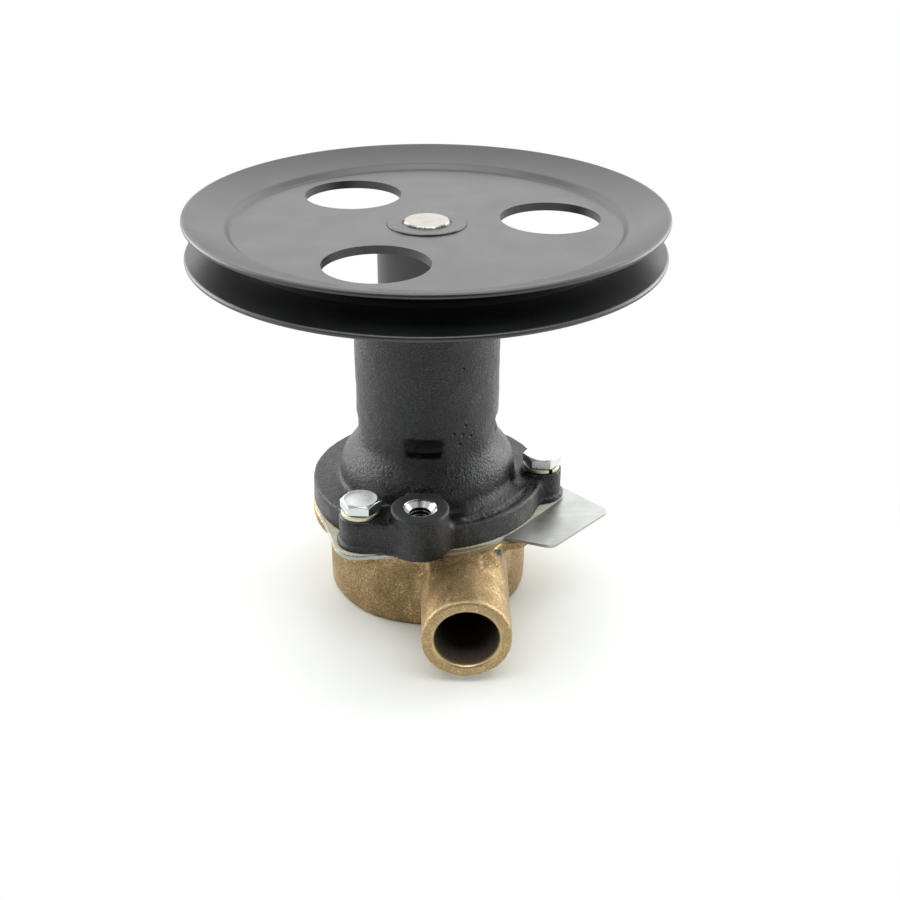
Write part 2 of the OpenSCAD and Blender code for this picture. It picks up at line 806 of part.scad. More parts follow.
module lower_bearing_outer() {
    color("silver") translate([0, 0, low_bearing_z]) outer_race();
}

module lower_bearing_inner() {
    color("silver") translate([0, 0, low_bearing_z]) inner_race();
}

module lower_bearing_balls() {
    color("white") translate([0, 0, low_bearing_z]) balls(ball_r);
}

module lower_bearing_cage() {
    color("burlywood") translate([0, 0, low_bearing_z]) cage();
}

module lower_bearing_shields() {
    color("black") translate([0, 0, low_bearing_z]) shields();
}

module upper_bearing_outer() {
    color("silver") translate([0, 0, up_bearing_z]) outer_race();
}

module upper_bearing_inner() {
    color("silver") translate([0, 0, up_bearing_z]) inner_race();
}

module upper_bearing_balls() {
    color("white") translate([0, 0, up_bearing_z]) balls(ball_r);
}

module upper_bearing_cage() {
    color("burlywood") translate([0, 0, up_bearing_z]) cage();
}

module upper_bearing_shields() {
    color("black") translate([0, 0, up_bearing_z]) shields();
}

module bearing_spacer() {
    color("lightgray") translate([0, 0, low_bearing_z + bearing_h]) ring(spacer_d / 2, shaft_r, spacer_h);
}

// Pulley hub: turned steel, pressed on the shaft, welded under the discs
module pulley_hub() {
    web_low = split_z - sheet_t;
    color("dimgray") difference() {
        union() {
            translate([0, 0, ring_z]) cylinder(d = nose_d, h = hub_z - ring_z);
            translate([0, 0, hub_z]) cylinder(d = hub_d, h = hub_h);
            translate([0, 0, web_low]) cylinder(d = spigot_d, h = spigot_top - web_low);
            translate([0, 0, web_low - weld_leg])
                cylinder(r1 = hub_d / 2, r2 = hub_d / 2 + weld_leg, h = weld_leg);
        }
        translate([0, 0, ring_z - over]) cylinder(r = shaft_r, h = spigot_top - ring_z + 2 * over);
    }
}

// Pressed disc: flat web, step, sloping flange and rolled lip
function unit(v) = v / norm(v);
function left_of(v) = [-v[1], v[0]];
function mitre(before, after, t) = t * (before + after) / (1 + before * after);

module pressed_disc() {
    lip_facets = 32;
    lip_x = pulley_d / 2 - lip_r;
    step_r = web_r + joggle_h;
    path = [[spigot_d / 2 + slip, 0], [web_r, 0], [step_r, joggle_h],
        [lip_x, joggle_h + (lip_x - step_r) * tan(groove_slope)]];
    sides = [for (i = [0:2]) left_of(unit(path[i + 1] - path[i]))];
    outer = [path[0] + sheet_t * sides[0], path[1] + mitre(sides[0], sides[1], sheet_t),
        path[2] + mitre(sides[1], sides[2], sheet_t), path[3] + sheet_t * sides[2]];
    difference() {
        rotate_extrude() {
            polygon(concat(path, [outer[3], outer[2], outer[1], outer[0]]));
            translate((path[3] + outer[3]) / 2) circle(lip_r, $fn = lip_facets);
        }
        for (i = [0:2]) rotate(web_hole_turn + 120 * i) translate([web_hole_circle_r, 0, -over])
            cylinder(d = web_hole_d, h = sheet_t + 2 * over);
    }
}

module pulley_upper_disc() {
    color("gray") translate([0, 0, split_z]) pressed_disc();
}

module pulley_lower_disc() {
    color("gray") translate([0, 0, split_z]) mirror([0, 0, 1]) pressed_disc();
}

pump_body();
body_gasket();
wear_plate();
housing_gasket();
bearing_housing();
flange_bolts();
spring_washers();
impeller();
impeller_bush();
impeller_key();
pump_shaft();
shaft_circlip();
seal_circlip();
housing_circlip();
water_seal_boot();
water_seal_seat();
water_seal_face();
water_seal_head();
water_seal_spring();
seal_washer();
water_slinger();
oil_seal();
oil_seal_spring();
lower_bearing_outer();
lower_bearing_inner();
lower_bearing_balls();
lower_bearing_cage();
lower_bearing_shields();
upper_bearing_outer();
upper_bearing_inner();
upper_bearing_balls();
upper_bearing_cage();
upper_bearing_shields();
bearing_spacer();
pulley_hub();
pulley_upper_disc();
pulley_lower_disc();
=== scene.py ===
"""Looks of a belt-driven flexible impeller pump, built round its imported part.

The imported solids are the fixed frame. Castings, pulley, hub, shaft, bolts, washers, plate and gaskets get
finer surfaces that stand for their nodes; the other nodes keep their shape and get a finish. Sizes are in
millimetres in the classes and in metres in Blender. The shaft axis is Z, and the camera looks along +Y.
"""

from __future__ import annotations

import logging
import math
from collections.abc import Callable, Mapping, Sequence
from dataclasses import dataclass, field
from enum import Enum
from functools import reduce
from typing import Any

import bmesh
import bpy
import numpy as np
from mathutils import Matrix


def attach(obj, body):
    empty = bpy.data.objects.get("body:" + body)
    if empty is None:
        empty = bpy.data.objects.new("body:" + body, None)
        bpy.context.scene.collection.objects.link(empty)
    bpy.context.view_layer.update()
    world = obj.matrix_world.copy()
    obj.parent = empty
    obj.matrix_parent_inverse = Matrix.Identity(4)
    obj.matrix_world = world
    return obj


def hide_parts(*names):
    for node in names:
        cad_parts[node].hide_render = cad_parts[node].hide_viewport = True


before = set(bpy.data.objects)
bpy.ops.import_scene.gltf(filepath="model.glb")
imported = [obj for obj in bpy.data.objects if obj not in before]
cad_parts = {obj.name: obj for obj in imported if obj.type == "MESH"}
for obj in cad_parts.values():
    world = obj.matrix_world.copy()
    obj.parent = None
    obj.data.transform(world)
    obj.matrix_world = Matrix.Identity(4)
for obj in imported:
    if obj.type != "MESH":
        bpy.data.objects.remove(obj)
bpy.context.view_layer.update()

log = logging.getLogger("pump")

MM = 0.001
Array = np.ndarray
Place = tuple[float, float]
Spot = tuple[float, float, float]
Socket = bpy.types.NodeSocket
AXIS: Place = (0.0, 0.0)


class Body(Enum):
    """CAD bodies that the pieces ride on."""

    ROOT = "root"
    ROTOR = "rotor"


class Shade(Enum):
    """How a piece's facets are shaded."""

    SMOOTH = 180.0
    CRISP = 32.0


# ---- Materials ----


def linear(hex_colour: str, alpha: float = 1.0) -> tuple[float, float, float, float]:
    """Turns an sRGB hex colour into linear red, green, blue and alpha.

    Args:
        hex_colour: Six hex digits, with or without a leading hash.
        alpha: Opacity of the result.

    Returns:
        The four linear channels.
    """
    digits = hex_colour.lstrip("#")
    channels = [int(digits[i : i + 2], 16) / 255 for i in (0, 2, 4)]
    red, green, blue = (c / 12.92 if c <= 0.04045 else ((c + 0.055) / 1.055) ** 2.4 for c in channels)
    return red, green, blue, alpha


def add_node(tree: bpy.types.NodeTree, kind: str, values: Mapping[Any, Any] | None = None) -> bpy.types.Node:
    """Adds a node and gives it its values: a socket is linked, anything else is set.

    Args:
        tree: Node tree that gets the node.
        kind: Blender's name of the node type.
        values: Property names, input names or input numbers, with their values.

    Returns:
        The new node.
    """
    node = tree.nodes.new(kind)
    for key, value in (values or {}).items():
        if isinstance(value, Socket):
            tree.links.new(value, node.inputs[key])
        elif isinstance(key, int) or key in node.inputs:
            node.inputs[key].default_value = value
        else:
            setattr(node, key, value)
    return node


def plain_material(name: str, colour: str, roughness: float) -> bpy.types.Material:
    """Makes a material of one colour.

    Args:
        name: Name of the material.
        colour: Its sRGB hex colour.
        roughness: Its roughness.

    Returns:
        The material.
    """
    material = bpy.data.materials.new(name)
    material.use_nodes = True
    inputs = material.node_tree.nodes["Principled BSDF"].inputs
    inputs["Base Color"].default_value = linear(colour)
    inputs["Roughness"].default_value = roughness
    return material


class Graph:
    """Shader nodes of one material, with a short method for each kind that the finishes use."""

    def __init__(self, material: bpy.types.Material) -> None:
        """Finds the material's shader, and adds object coordinates in metres."""
        self.tree: bpy.types.NodeTree = material.node_tree
        self.shader: bpy.types.Node = self.tree.nodes["Principled BSDF"]
        self.place: Socket = self.add("ShaderNodeTexCoord")["Object"]

    def add(self, kind: str, values: Mapping[Any, Any] | None = None) -> Any:
        """Adds any node, and returns its outputs."""
        return add_node(self.tree, kind, values).outputs

    def feed(self, name: str, source: Socket) -> None:
        """Links a socket to an input of the shader."""
        self.tree.links.new(source, self.shader.inputs[name])

    def mark(self, name: str) -> Socket:
        """Reads a value that the mesh carries at its points."""
        return self.add("ShaderNodeAttribute", {"attribute_name": name})["Fac"]

    def calc(self, operation: str, *terms: float | Socket) -> Socket:
        """Does a sum with one to three terms."""
        return self.add("ShaderNodeMath", {"operation": operation, **dict(enumerate(terms))})["Value"]

    def gap(self, at: Spot) -> Socket:
        """Measures the distance from a spot in millimetres."""
        spot = tuple(c * MM for c in at)
        return self.add("ShaderNodeVectorMath", {"operation": "DISTANCE", 0: self.place, 1: spot})["Value"]

    def cells(self, size_mm: float) -> Any:
        """Divides space into cells of a size, and returns the pattern's outputs."""
        return self.add("ShaderNodeTexVoronoi", {"Scale": 1 / (size_mm * MM), "Vector": self.place})

    def noise(self, size_mm: float, detail: float, roughness: float = 0.5, at: Socket | None = None) -> Socket:
        """Adds a noise.

        Args:
            size_mm: Size of its features.
            detail: Number of finer octaves.
            roughness: Weight of the finer octaves.
            at: Coordinates, or None for object coordinates.

        Returns:
            The noise, around 0.5.
        """
        where = self.place if at is None else at
        values = {"Scale": 1 / (size_mm * MM), "Detail": detail, "Roughness": roughness, "Vector": where}
        return self.add("ShaderNodeTexNoise", values)["Fac"]

    def spread(self, source: Socket, low: float, high: float, within: Place = (0.3, 0.7)) -> Socket:
        """Maps a value's range onto another.

        Args:
            source: The value.
            low: Result at the lower end.
            high: Result at the upper end.
            within: Both ends of the value's range.

        Returns:
            The mapped value.
        """
        values = {"From Min": within[0], "From Max": within[1], "To Min": low, "To Max": high, "Value": source}
        return self.add("ShaderNodeMapRange", values)["Result"]

    def blend(self, share: Socket, first: str | Socket, second: str | float | Socket) -> Socket:
        """Mixes two values: colours if either is a hex colour, else numbers.

        Args:
            share: Share of the second value.
            first: The first value.
            second: The second value.

        Returns:
            The mixture.
        """
        colours = isinstance(first, str) or isinstance(second, str)
        values: dict[Any, Any] = {"data_type": "RGBA" if colours else "FLOAT", 0: share}
        for number, value in enumerate((first, second), 6 if colours else 2):
            values[number] = linear(value) if isinstance(value, str) else value
        return self.add("ShaderNodeMix", values)[2 if colours else 0]

    def ramp(self, stops: Sequence[tuple[float, str | float]], source: Socket) -> Socket:
        """Adds a colour ramp.

        Args:
            stops: Pairs of place and colour; a number stands for a grey of that value.
            source: Socket that drives the ramp.

        Returns:
            The ramp's colour.
        """
        node = add_node(self.tree, "ShaderNodeValToRGB", {"Fac": source})
        elements = node.color_ramp.elements
        for i, (place, colour) in enumerate(stops):
            element = elements[i] if i < 2 else elements.new(place)
            element.position = place
            element.color = linear(colour) if isinstance(colour, str) else (colour, colour, colour, 1.0)
        return node.outputs["Color"]

    def emboss(self, height: Socket, depth_mm: float, strength: float | Socket) -> None:
        """Shades the surface as if a pattern raised it.

        Args:
            height: The pattern.
            depth_mm: Height of its full range.
            strength: Share of the effect.
        """
        bump = self.add("ShaderNodeBump", {"Distance": depth_mm * MM, "Strength": strength, "Height": height})
        self.feed("Normal", bump["Normal"])


@dataclass(frozen=True)
class Finish:
    """One surface finish: a material's common name, how it was made, and its typical values.

    Roughness is the middle of the range that the patterns spread round.
    """

    name: str
    colour: str
    roughness: float
    metallic: float = 0.0
    ior: float = 1.5

    def build(self) -> bpy.types.Material:
        """Makes the material, or finds the one that this finish made before.

        Returns:
            The Blender material.
        """
        known = bpy.data.materials.get(self.name)
        if known is not None:
            return known
        material = plain_material(self.name, self.colour, self.roughness)
        graph = Graph(material)
        graph.shader.inputs["Metallic"].default_value = self.metallic
        if not self.metallic:
            graph.shader.inputs["IOR"].default_value = self.ior
        self.dress(graph)
        return material

    def dress(self, graph: Graph) -> None:
        """Adds the finish's patterns to its nodes."""
        raise NotImplementedError


@dataclass(frozen=True)
class SatinPaint(Finish):
    """Satin black spray paint on pressed steel: soft sheen, faint cloudiness, dust specks."""

    cloud_mm: float = 14.0
    cloud_colour: str = "#1d1f1f"
    grain_mm: float = 0.5
    grain_height_mm: float = 0.006
    speck_mm: float = 6.0
    speck_r: float = 0.045
    speck_colour: str = "#8d9088"
    pit_colour: str = "#060707"

    def dress(self, graph: Graph) -> None:
        """Clouds the sheen, and scatters a few pale specks and dark pits.

        Args:
            graph: The material's nodes.
        """
        cloud = graph.noise(self.cloud_mm, 4.0)
        graph.feed("Roughness", graph.spread(cloud, self.roughness - 0.03, self.roughness + 0.04))
        cells = graph.cells(self.speck_mm)
        spot = graph.ramp([(0.0, 1.0), (self.speck_r, 0.0)], cells["Distance"])
        chance = graph.add("ShaderNodeSeparateColor", {"Color": cells["Color"]})
        speck = graph.calc("MULTIPLY", spot, graph.calc("GREATER_THAN", chance["Red"], 0.86))
        pit = graph.calc("MULTIPLY", spot, graph.calc("GREATER_THAN", chance["Green"], 0.9))
        tone = graph.ramp([(0.3, self.colour), (0.75, self.cloud_colour)], cloud)
        tone = graph.blend(pit, tone, self.pit_colour)
        graph.feed("Base Color", graph.blend(speck, tone, self.speck_colour))
        graph.emboss(graph.noise(self.grain_mm, 2.0), self.grain_height_mm, 0.6)


@dataclass(frozen=True)
class CastIronPaint(Finish):
    """Black enamel on sand-cast iron: the sand's orange peel shows through, paint pools in the corners, and its
    relief gets painted highlight and shade.
    """

    peel_mm: float = 0.95
    sand_mm: float = 0.45
    patch_mm: float = 9.0
    peel_height_mm: float = 0.4
    pool_roughness: float = 0.12
    matte_roughness: float = 0.6
    # The valley colour is painted shade and the peak colour a painted highlight on the grain's relief.
    painted_valley_shade_colour: str = "#020303"
    painted_peak_highlight_colour: str = "#303434"
    matte_colour: str = "#2a2d2d"
    # Pale grey inside the bore: painted light where the windows show the shaded inside.
    painted_inner_light_colour: str = "#8a8d8d"
    pit_r_mm: float = 0.75
    pit_depth: float = 3.0
    pits: tuple[Spot, ...] = ()

    def dress(self, graph: Graph) -> None:
        """Adds peel, sand grain, gloss where the mesh is marked as a pool, a few pits, and painted highlight and
        shade on the grain.

        Args:
            graph: The material's nodes.
        """
        peel, sand = graph.noise(self.peel_mm, 3.0, 0.6), graph.noise(self.sand_mm, 2.0)
        height = graph.calc("MULTIPLY_ADD", sand, 0.5, peel)
        for pit in self.pits:
            wall = (0.3 * self.pit_r_mm * MM, self.pit_r_mm * MM)
            height = graph.calc("ADD", height, graph.spread(graph.gap(pit), -self.pit_depth, 0.0, wall))
        calm = graph.calc("MULTIPLY_ADD", graph.mark("machined"), -0.7, 1.0)
        graph.emboss(height, self.peel_height_mm, calm)
        patch = graph.noise(self.patch_mm, 2.0)
        rough = graph.spread(patch, self.roughness - 0.07, self.roughness + 0.08)
        rough = graph.blend(graph.mark("pool"), rough, self.pool_roughness)
        matte = graph.mark("matte")
        graph.feed("Roughness", graph.blend(matte, rough, self.matte_roughness))
        # The tone follows the relief's noises: a painted highlight on its peaks and painted shade in its valleys.
        painted_relief_light = graph.calc("MULTIPLY_ADD", sand, 0.5, graph.calc("MULTIPLY", peel, 0.5))
        tone = graph.ramp([(0.38, self.painted_valley_shade_colour), (0.5, self.colour), (0.64, self.painted_peak_highlight_colour)], painted_relief_light)
        tone = graph.blend(matte, tone, self.matte_colour)
        # Inside the bore the tone turns pale grey, painted light in place of the shade there.
        graph.feed("Base Color", graph.blend(graph.mark("painted_inner_light"), tone, self.painted_inner_light_colour))


@dataclass(frozen=True)
class CastBronze(Finish):
    """Sand-cast gunmetal bronze: brown skin over gold grain, small glossy facets, and a painted highlight on the
    sand's peaks.
    """

    grain_mm: float = 0.7
    stain_mm: float = 9.0
    facet_mm: float = 0.55
    grain_height_mm: float = 0.16
    stain_colour: str = "#6e583f"
    skin_colour: str = "#856f4d"
    # The peak colour is a painted highlight where the grain is highest.
    painted_peak_highlight_colour: str = "#d4bb90"
    machined_colour: str = "#c9b184"
    machined_roughness: float = 0.3
    patina_colour: str = "#554c41"
    dab_colour: str = "#0f4a46"
    dab_at: tuple[Spot, ...] = ((24.8, -39.8, 33.5), (25.5, -38.6, 32.7), (26.1, -37.7, 32.1))
    dab_r_mm: float = 1.3

    def dress(self, graph: Graph) -> None:
        """Mixes brown stain and gold grain with a painted highlight on the grain's peaks, brightens machined faces,
        and adds the dab of teal paint.

        Args:
            graph: The material's nodes.
        """
        grain = graph.noise(self.grain_mm, 3.0, 0.65)
        machined, rough_area, patina = (graph.mark(name) for name in ("machined", "rough", "patina"))
        level = graph.calc("MULTIPLY_ADD", graph.noise(self.stain_mm, 5.0, 0.62), 0.55, grain)
        # Rough patches are drawn lighter, a painted glint on their grain.
        level = graph.calc("MULTIPLY_ADD", rough_area, 0.14, level)
        # Stain, skin and base colour are the metal's own; the top stop is a painted highlight on the grain's peaks.
        stops = [(0.48, self.stain_colour), (0.66, self.skin_colour), (0.88, self.colour), (1.0, self.painted_peak_highlight_colour)]
        tone = graph.blend(machined, graph.ramp(stops, level), self.machined_colour)
        tone = graph.blend(patina, tone, self.patina_colour)
        near = graph.gap(self.dab_at[0])
        for at in self.dab_at[1:]:
            near = graph.calc("MINIMUM", near, graph.gap(at))
        dab = graph.spread(near, 1.0, 0.0, (0.85 * self.dab_r_mm * MM, self.dab_r_mm * MM))
        graph.feed("Base Color", graph.blend(dab, tone, self.dab_colour))
        covered = graph.calc("MAXIMUM", dab, patina)
        graph.feed("Metallic", graph.calc("MULTIPLY_ADD", covered, -self.metallic, self.metallic))
        chance = graph.add("ShaderNodeSeparateColor", {"Color": graph.cells(self.facet_mm)["Color"]})
        glint = graph.ramp([(0.0, 0.24), (0.12, 0.5), (0.5, 0.62)], chance["Red"])
        graph.feed("Roughness", graph.blend(machined, glint, self.machined_roughness))
        relief = graph.calc("MULTIPLY_ADD", rough_area, 0.9, 0.42)
        graph.emboss(grain, self.grain_height_mm, graph.calc("MULTIPLY_ADD", machined, -0.35, relief))


@dataclass(frozen=True)
class PlatedSteel(Finish):
    """Zinc-plated or ground steel: bright crystals under a thin, slightly tinted film."""

    tint: str = "#c9ced0"
    crystal_mm: float = 0.9
    film_mm: float = 0.01
    sheen_spread: float = 0.065

    def dress(self, graph: Graph) -> None:
        """Varies tint and sheen from crystal to crystal.

        Args:
            graph: The material's nodes.
        """
        crystal = graph.noise(self.crystal_mm, 3.0)
        graph.feed("Base Color", graph.ramp([(0.35, self.tint), (0.6, self.colour)], crystal))
        low, high = self.roughness - self.sheen_spread, self.roughness + self.sheen_spread
        graph.feed("Roughness", graph.spread(crystal, low, high, (0.35, 0.65)))
        graph.emboss(crystal, self.film_mm, 0.4)


@dataclass(frozen=True)
class RolledSteel(Finish):
    """Cold-rolled stainless sheet: fine lines along the rolling direction, light handling smears."""

    line_mm: float = 0.35
    line_depth_mm: float = 0.01
    line_colour: str = "#a6a8a4"
    smear_mm: float = 7.0
    turn_deg: float = -42.0

    def dress(self, graph: Graph) -> None:
        """Stretches a noise along the rolling direction for lines, and smears the sheen.

        Args:
            graph: The material's nodes.
        """
        turn = (0.0, 0.0, math.radians(self.turn_deg))
        values = {"Rotation": turn, "Scale": (0.03, 1.0, 1.0), "Vector": graph.place}
        lines = graph.noise(self.line_mm, 3.0, at=graph.add("ShaderNodeMapping", values)["Vector"])
        graph.feed("Base Color", graph.ramp([(0.3, self.line_colour), (0.7, self.colour)], lines))
        smear = graph.noise(self.smear_mm, 4.0)
        graph.feed("Roughness", graph.spread(smear, self.roughness - 0.06, self.roughness + 0.1))
        graph.emboss(lines, self.line_depth_mm, 0.35)


@dataclass(frozen=True)
class TurnedSteel(Finish):
    """Turned and ground steel: rings of the tool round the shaft axis, a faint tan oil stain, paint at the rim."""

    ring_mm: float = 0.4
    ring_depth_mm: float = 0.016
    stain_mm: float = 5.0
    stain_colour: str = "#96856c"
    paint_colour: str = "#1b1d1d"
    ragged_mm: float = 1.4
    bare_r_mm: float = 60.0
    bare_above_mm: float = -100.0

    def dress(self, graph: Graph) -> None:
        """Draws rings by distance from the axis, and covers what lies outside the bare face with paint.

        Args:
            graph: The material's nodes.
        """
        parts = graph.add("ShaderNodeSeparateXYZ", {"Vector": graph.place})
        flat = graph.add("ShaderNodeCombineXYZ", {"X": parts["X"], "Y": parts["Y"]})["Vector"]
        reach = graph.add("ShaderNodeVectorMath", {"operation": "LENGTH", 0: flat})["Value"]
        tool = graph.calc("MULTIPLY_ADD", parts["Z"], 0.6, reach)
        values = {"noise_dimensions": "1D", "Scale": 1 / (self.ring_mm * MM), "Detail": 2.0, "W": tool}
        rings = graph.add("ShaderNodeTexNoise", values)["Fac"]
        tone = graph.ramp([(0.46, self.colour), (0.8, self.stain_colour)], graph.noise(self.stain_mm, 3.0))
        ragged = graph.calc("MULTIPLY_ADD", graph.noise(0.9, 3.0), self.ragged_mm * MM, reach)
        outside = graph.calc("GREATER_THAN", ragged, self.bare_r_mm * MM)
        below = graph.calc("LESS_THAN", parts["Z"], self.bare_above_mm * MM)
        bare = graph.calc("MAXIMUM", below, graph.calc("SUBTRACT", 1.0, outside))
        graph.feed("Base Color", graph.blend(bare, self.paint_colour, tone))
        graph.feed("Metallic", bare)
        graph.feed("Roughness", graph.spread(rings, self.roughness - 0.05, self.roughness + 0.07))
        graph.emboss(rings, self.ring_depth_mm, 0.5)


@dataclass(frozen=True)
class Moulded(Finish):
    """Moulded or pressed non-metal, such as rubber, nylon, carbon, ceramic or gasket paper: fine even grain."""

    grain_mm: float = 0.6
    grain_height_mm: float = 0.02
    dark: str = "#000000"

    def dress(self, graph: Graph) -> None:
        """Varies colour a little with the grain, and raises it.

        Args:
            graph: The material's nodes.
        """
        grain = graph.noise(self.grain_mm, 4.0)
        graph.feed("Base Color", graph.ramp([(0.3, self.dark), (0.62, self.colour)], grain))
        graph.emboss(grain, self.grain_height_mm, 0.6)


# Satin black over steel: the deep colour and mid roughness give a grey veil at low angles.
PULLEY_PAINT = SatinPaint("satin_black_paint_sprayed", "#131515", 0.4, ior=1.75)
# Black enamel over sand-cast iron: rough skin under a glossy film. The pits are where the photograph has them.
IRON_PAINT = CastIronPaint(
    "black_enamel_on_sand_cast_iron",
    "#0d0f10",
    0.3,
    ior=1.52,
    pits=(
        (13.66, -22.82, 76.6),
        (9.49, -24.86, 74.1),
        (12.63, -23.33, 73.2),
        (15.64, -21.6, 71.9),
        (11.6, -23.75, 69.5),
        (12.59, -23.69, 99.3),
    ),
)
# Gunmetal bronze as cast: tan gold with brown stain.
BRONZE = CastBronze("gunmetal_bronze_sand_cast", "#a88f66", 0.5, metallic=0.75)
# Bright zinc on forged bolts: smooth, almost white, with a cool film.
BRIGHT_ZINC = PlatedSteel("bright_zinc_plated_steel", "#dde1e0", 0.3, 1.0, 1.5, "#d5dad9", 1.6, 0.001, 0.03)
# Pale yellow zinc on spring washers: a warm, duller film.
PALE_ZINC = PlatedSteel("pale_yellow_zinc_plated_steel", "#e4dec9", 0.42, 1.0, tint="#d8d0b8", film_mm=0.003)
# Stainless sheet, cold rolled: soft grey with lines that stretch its highlights.
STAINLESS = RolledSteel("stainless_sheet_cold_rolled", "#b4b6b2", 0.38, 1.0)
# Bare turned end of a painted shaft: fine rings round a bright face.
SHAFT_STEEL = TurnedSteel("shaft_steel_turned", "#99968d", 0.26, 1.0, bare_r_mm=8.75, bare_above_mm=112.0)
# Ground steel of keys, spacers and bearing rings: an even, mirror-like grey.
GROUND_STEEL = PlatedSteel("bearing_steel_ground", "#c9c9c9", 0.24, 1.0, tint="#b4b4b6")
# Cut thread and countersink in iron: bright, with the tool's even sheen.
CUT_IRON = PlatedSteel("cast_iron_freshly_cut", "#c4c4c2", 0.3, 1.0, 1.5, "#b8b8b6", 2.0, 0.001, 0.02)
# Spring steel of retaining rings: hardened and oiled, so nearly black.
SPRING_STEEL = PlatedSteel("spring_steel_oiled", "#4a4a4c", 0.35, 1.0, tint="#2e2e31")
# Drawn stainless wire and pressed washers: bright and smooth.
STAINLESS_WIRE = PlatedSteel("stainless_wire_drawn", "#c8c8c6", 0.28, 1.0, tint="#b0b0ae")
# Turned bronze bush: warm yellow sheen.
TURNED_BUSH = PlatedSteel("bronze_bush_turned", "#c9a565", 0.3, 1.0, tint="#a9874c")
# Moulded rubber of impeller, seals and shields: dull black, or brown where it stands heat.
BLACK_RUBBER = Moulded("nitrile_rubber_moulded", "#232323", 0.6, dark="#141414")
BROWN_RUBBER = Moulded("fluorocarbon_rubber_moulded", "#5a3424", 0.55, dark="#3c2118")
# Lapped carbon and ceramic seal faces: flat and slightly shiny.
CARBON = Moulded("carbon_graphite_lapped", "#26272a", 0.4, dark="#1a1b1d", grain_height_mm=0.004)
CERAMIC = Moulded("alumina_ceramic_lapped", "#ebe8df", 0.25, dark="#dad6cb", grain_height_mm=0.003)
# Glass-filled nylon cages: milky tan.
NYLON = Moulded("glass_filled_nylon_moulded", "#c9b485", 0.5, dark="#ad9869")
# Pressed fibre gasket paper: pale, with a felted grain.
GASKET_PAPER = Moulded("gasket_paper_pressed", "#e4dfcc", 0.85, 0.0, 1.5, 0.8, 0.06, "#b9b29c")


NODE_FINISHES: dict[str, Finish] = {
    "impeller": BLACK_RUBBER,
    "impeller_bush": TURNED_BUSH,
    "impeller_key": GROUND_STEEL,
    "shaft_circlip": SPRING_STEEL,
    "seal_circlip": SPRING_STEEL,
    "housing_circlip": SPRING_STEEL,
    "water_seal_boot": BLACK_RUBBER,
    "water_seal_seat": CERAMIC,
    "water_seal_face": CARBON,
    "water_seal_head": BLACK_RUBBER,
    "water_seal_spring": STAINLESS_WIRE,
    "seal_washer": STAINLESS_WIRE,
    "water_slinger": BLACK_RUBBER,
    "oil_seal": BROWN_RUBBER,
    "oil_seal_spring": STAINLESS_WIRE,
    "bearing_spacer": GROUND_STEEL,
}
for bearing in ("lower_bearing", "upper_bearing"):
    NODE_FINISHES |= {f"{bearing}_{part}": GROUND_STEEL for part in ("outer", "inner", "balls")}
    NODE_FINISHES |= {f"{bearing}_cage": NYLON, f"{bearing}_shields": BLACK_RUBBER}


# ---- Surfaces ----


def grid_quads(rows: int, columns: int, wrap_rows: bool, wrap_columns: bool) -> Array:
    """Lists the quads of a grid of points that is stored row by row.

    Args:
        rows: Number of rows.
        columns: Number of points in a row.
        wrap_rows: Whether the last row joins the first.
        wrap_columns: Whether the last point of a row joins its first.

    Returns:
        An array with one row of four point numbers per quad.
    """
    i = np.arange(rows if wrap_rows else rows - 1)[:, None]
    j = np.arange(columns if wrap_columns else columns - 1)[None, :]
    right, down = (j + 1) % columns, (i + 1) % rows
    quads = np.stack([i * columns + j, i * columns + right, down * columns + right, down * columns + j], axis=-1)
    return quads.reshape(-1, 4)


def link(name: str, data: bpy.types.ID) -> bpy.types.Object:
    """Makes an object of a mesh, camera or lamp, and links it to the scene.

    Args:
        name: Name of the object.
        data: What it shows.

    Returns:
        The object, at the origin.
    """
    thing = bpy.data.objects.new(name, data)
    bpy.context.scene.collection.objects.link(thing)
    return thing


def sharpen(mesh: bpy.types.Mesh) -> None:
    """Marks the edges that a crisp piece shows as edges."""
    mesh.set_sharp_from_angle(angle=math.radians(Shade.CRISP.value))


def finish_piece(mesh: bpy.types.Mesh, name: str, finish: Finish, shade: Shade) -> bpy.types.Object:
    """Closes seams and poles of a mesh, shades it and links it with its finish.

    Args:
        mesh: The mesh.
        name: Name of the piece.
        finish: Finish of the whole piece.
        shade: How facets are shaded.

    Returns:
        The linked object.
    """
    work = bmesh.new()
    work.from_mesh(mesh)
    bmesh.ops.remove_doubles(work, verts=work.verts, dist=1e-7)
    bmesh.ops.recalc_face_normals(work, faces=work.faces)
    for face in work.faces:
        face.smooth = True
    work.to_mesh(mesh)
    work.free()
    if shade is Shade.CRISP:
        sharpen(mesh)
    mesh.materials.append(finish.build())
    return link(name, mesh)


def new_piece(
    name: str,
    surface: tuple[Array, Array],
    finish: Finish,
    shade: Shade = Shade.SMOOTH,
    marks: Mapping[str, Array] | None = None,
) -> bpy.types.Object:
    """Makes an object from points in millimetres and faces of four points.

    Args:
        name: Name of the piece.
        surface: Points, three numbers each, and faces, four point numbers each.
        finish: Finish of the whole piece.
        shade: How facets are shaded.
        marks: Values per point that the finish reads as attributes.

    Returns:
        The linked object, at the origin.
    """
    points, quads = surface
    mesh = bpy.data.meshes.new(name)
    mesh.vertices.add(len(points))
    mesh.vertices.foreach_set("co", (np.asarray(points, np.float32) * MM).ravel())
    mesh.loops.add(quads.size)
    mesh.loops.foreach_set("vertex_index", quads.astype(np.int32).ravel())
    mesh.polygons.add(len(quads))
    mesh.polygons.foreach_set("loop_start", np.arange(0, quads.size, 4, dtype=np.int32))
    mesh.update(calc_edges=True)
    for key, values in (marks or {}).items():
        mesh.attributes.new(key, "FLOAT", "POINT").data.foreach_set("value", np.asarray(values, np.float32))
    return finish_piece(mesh, name, finish, shade)


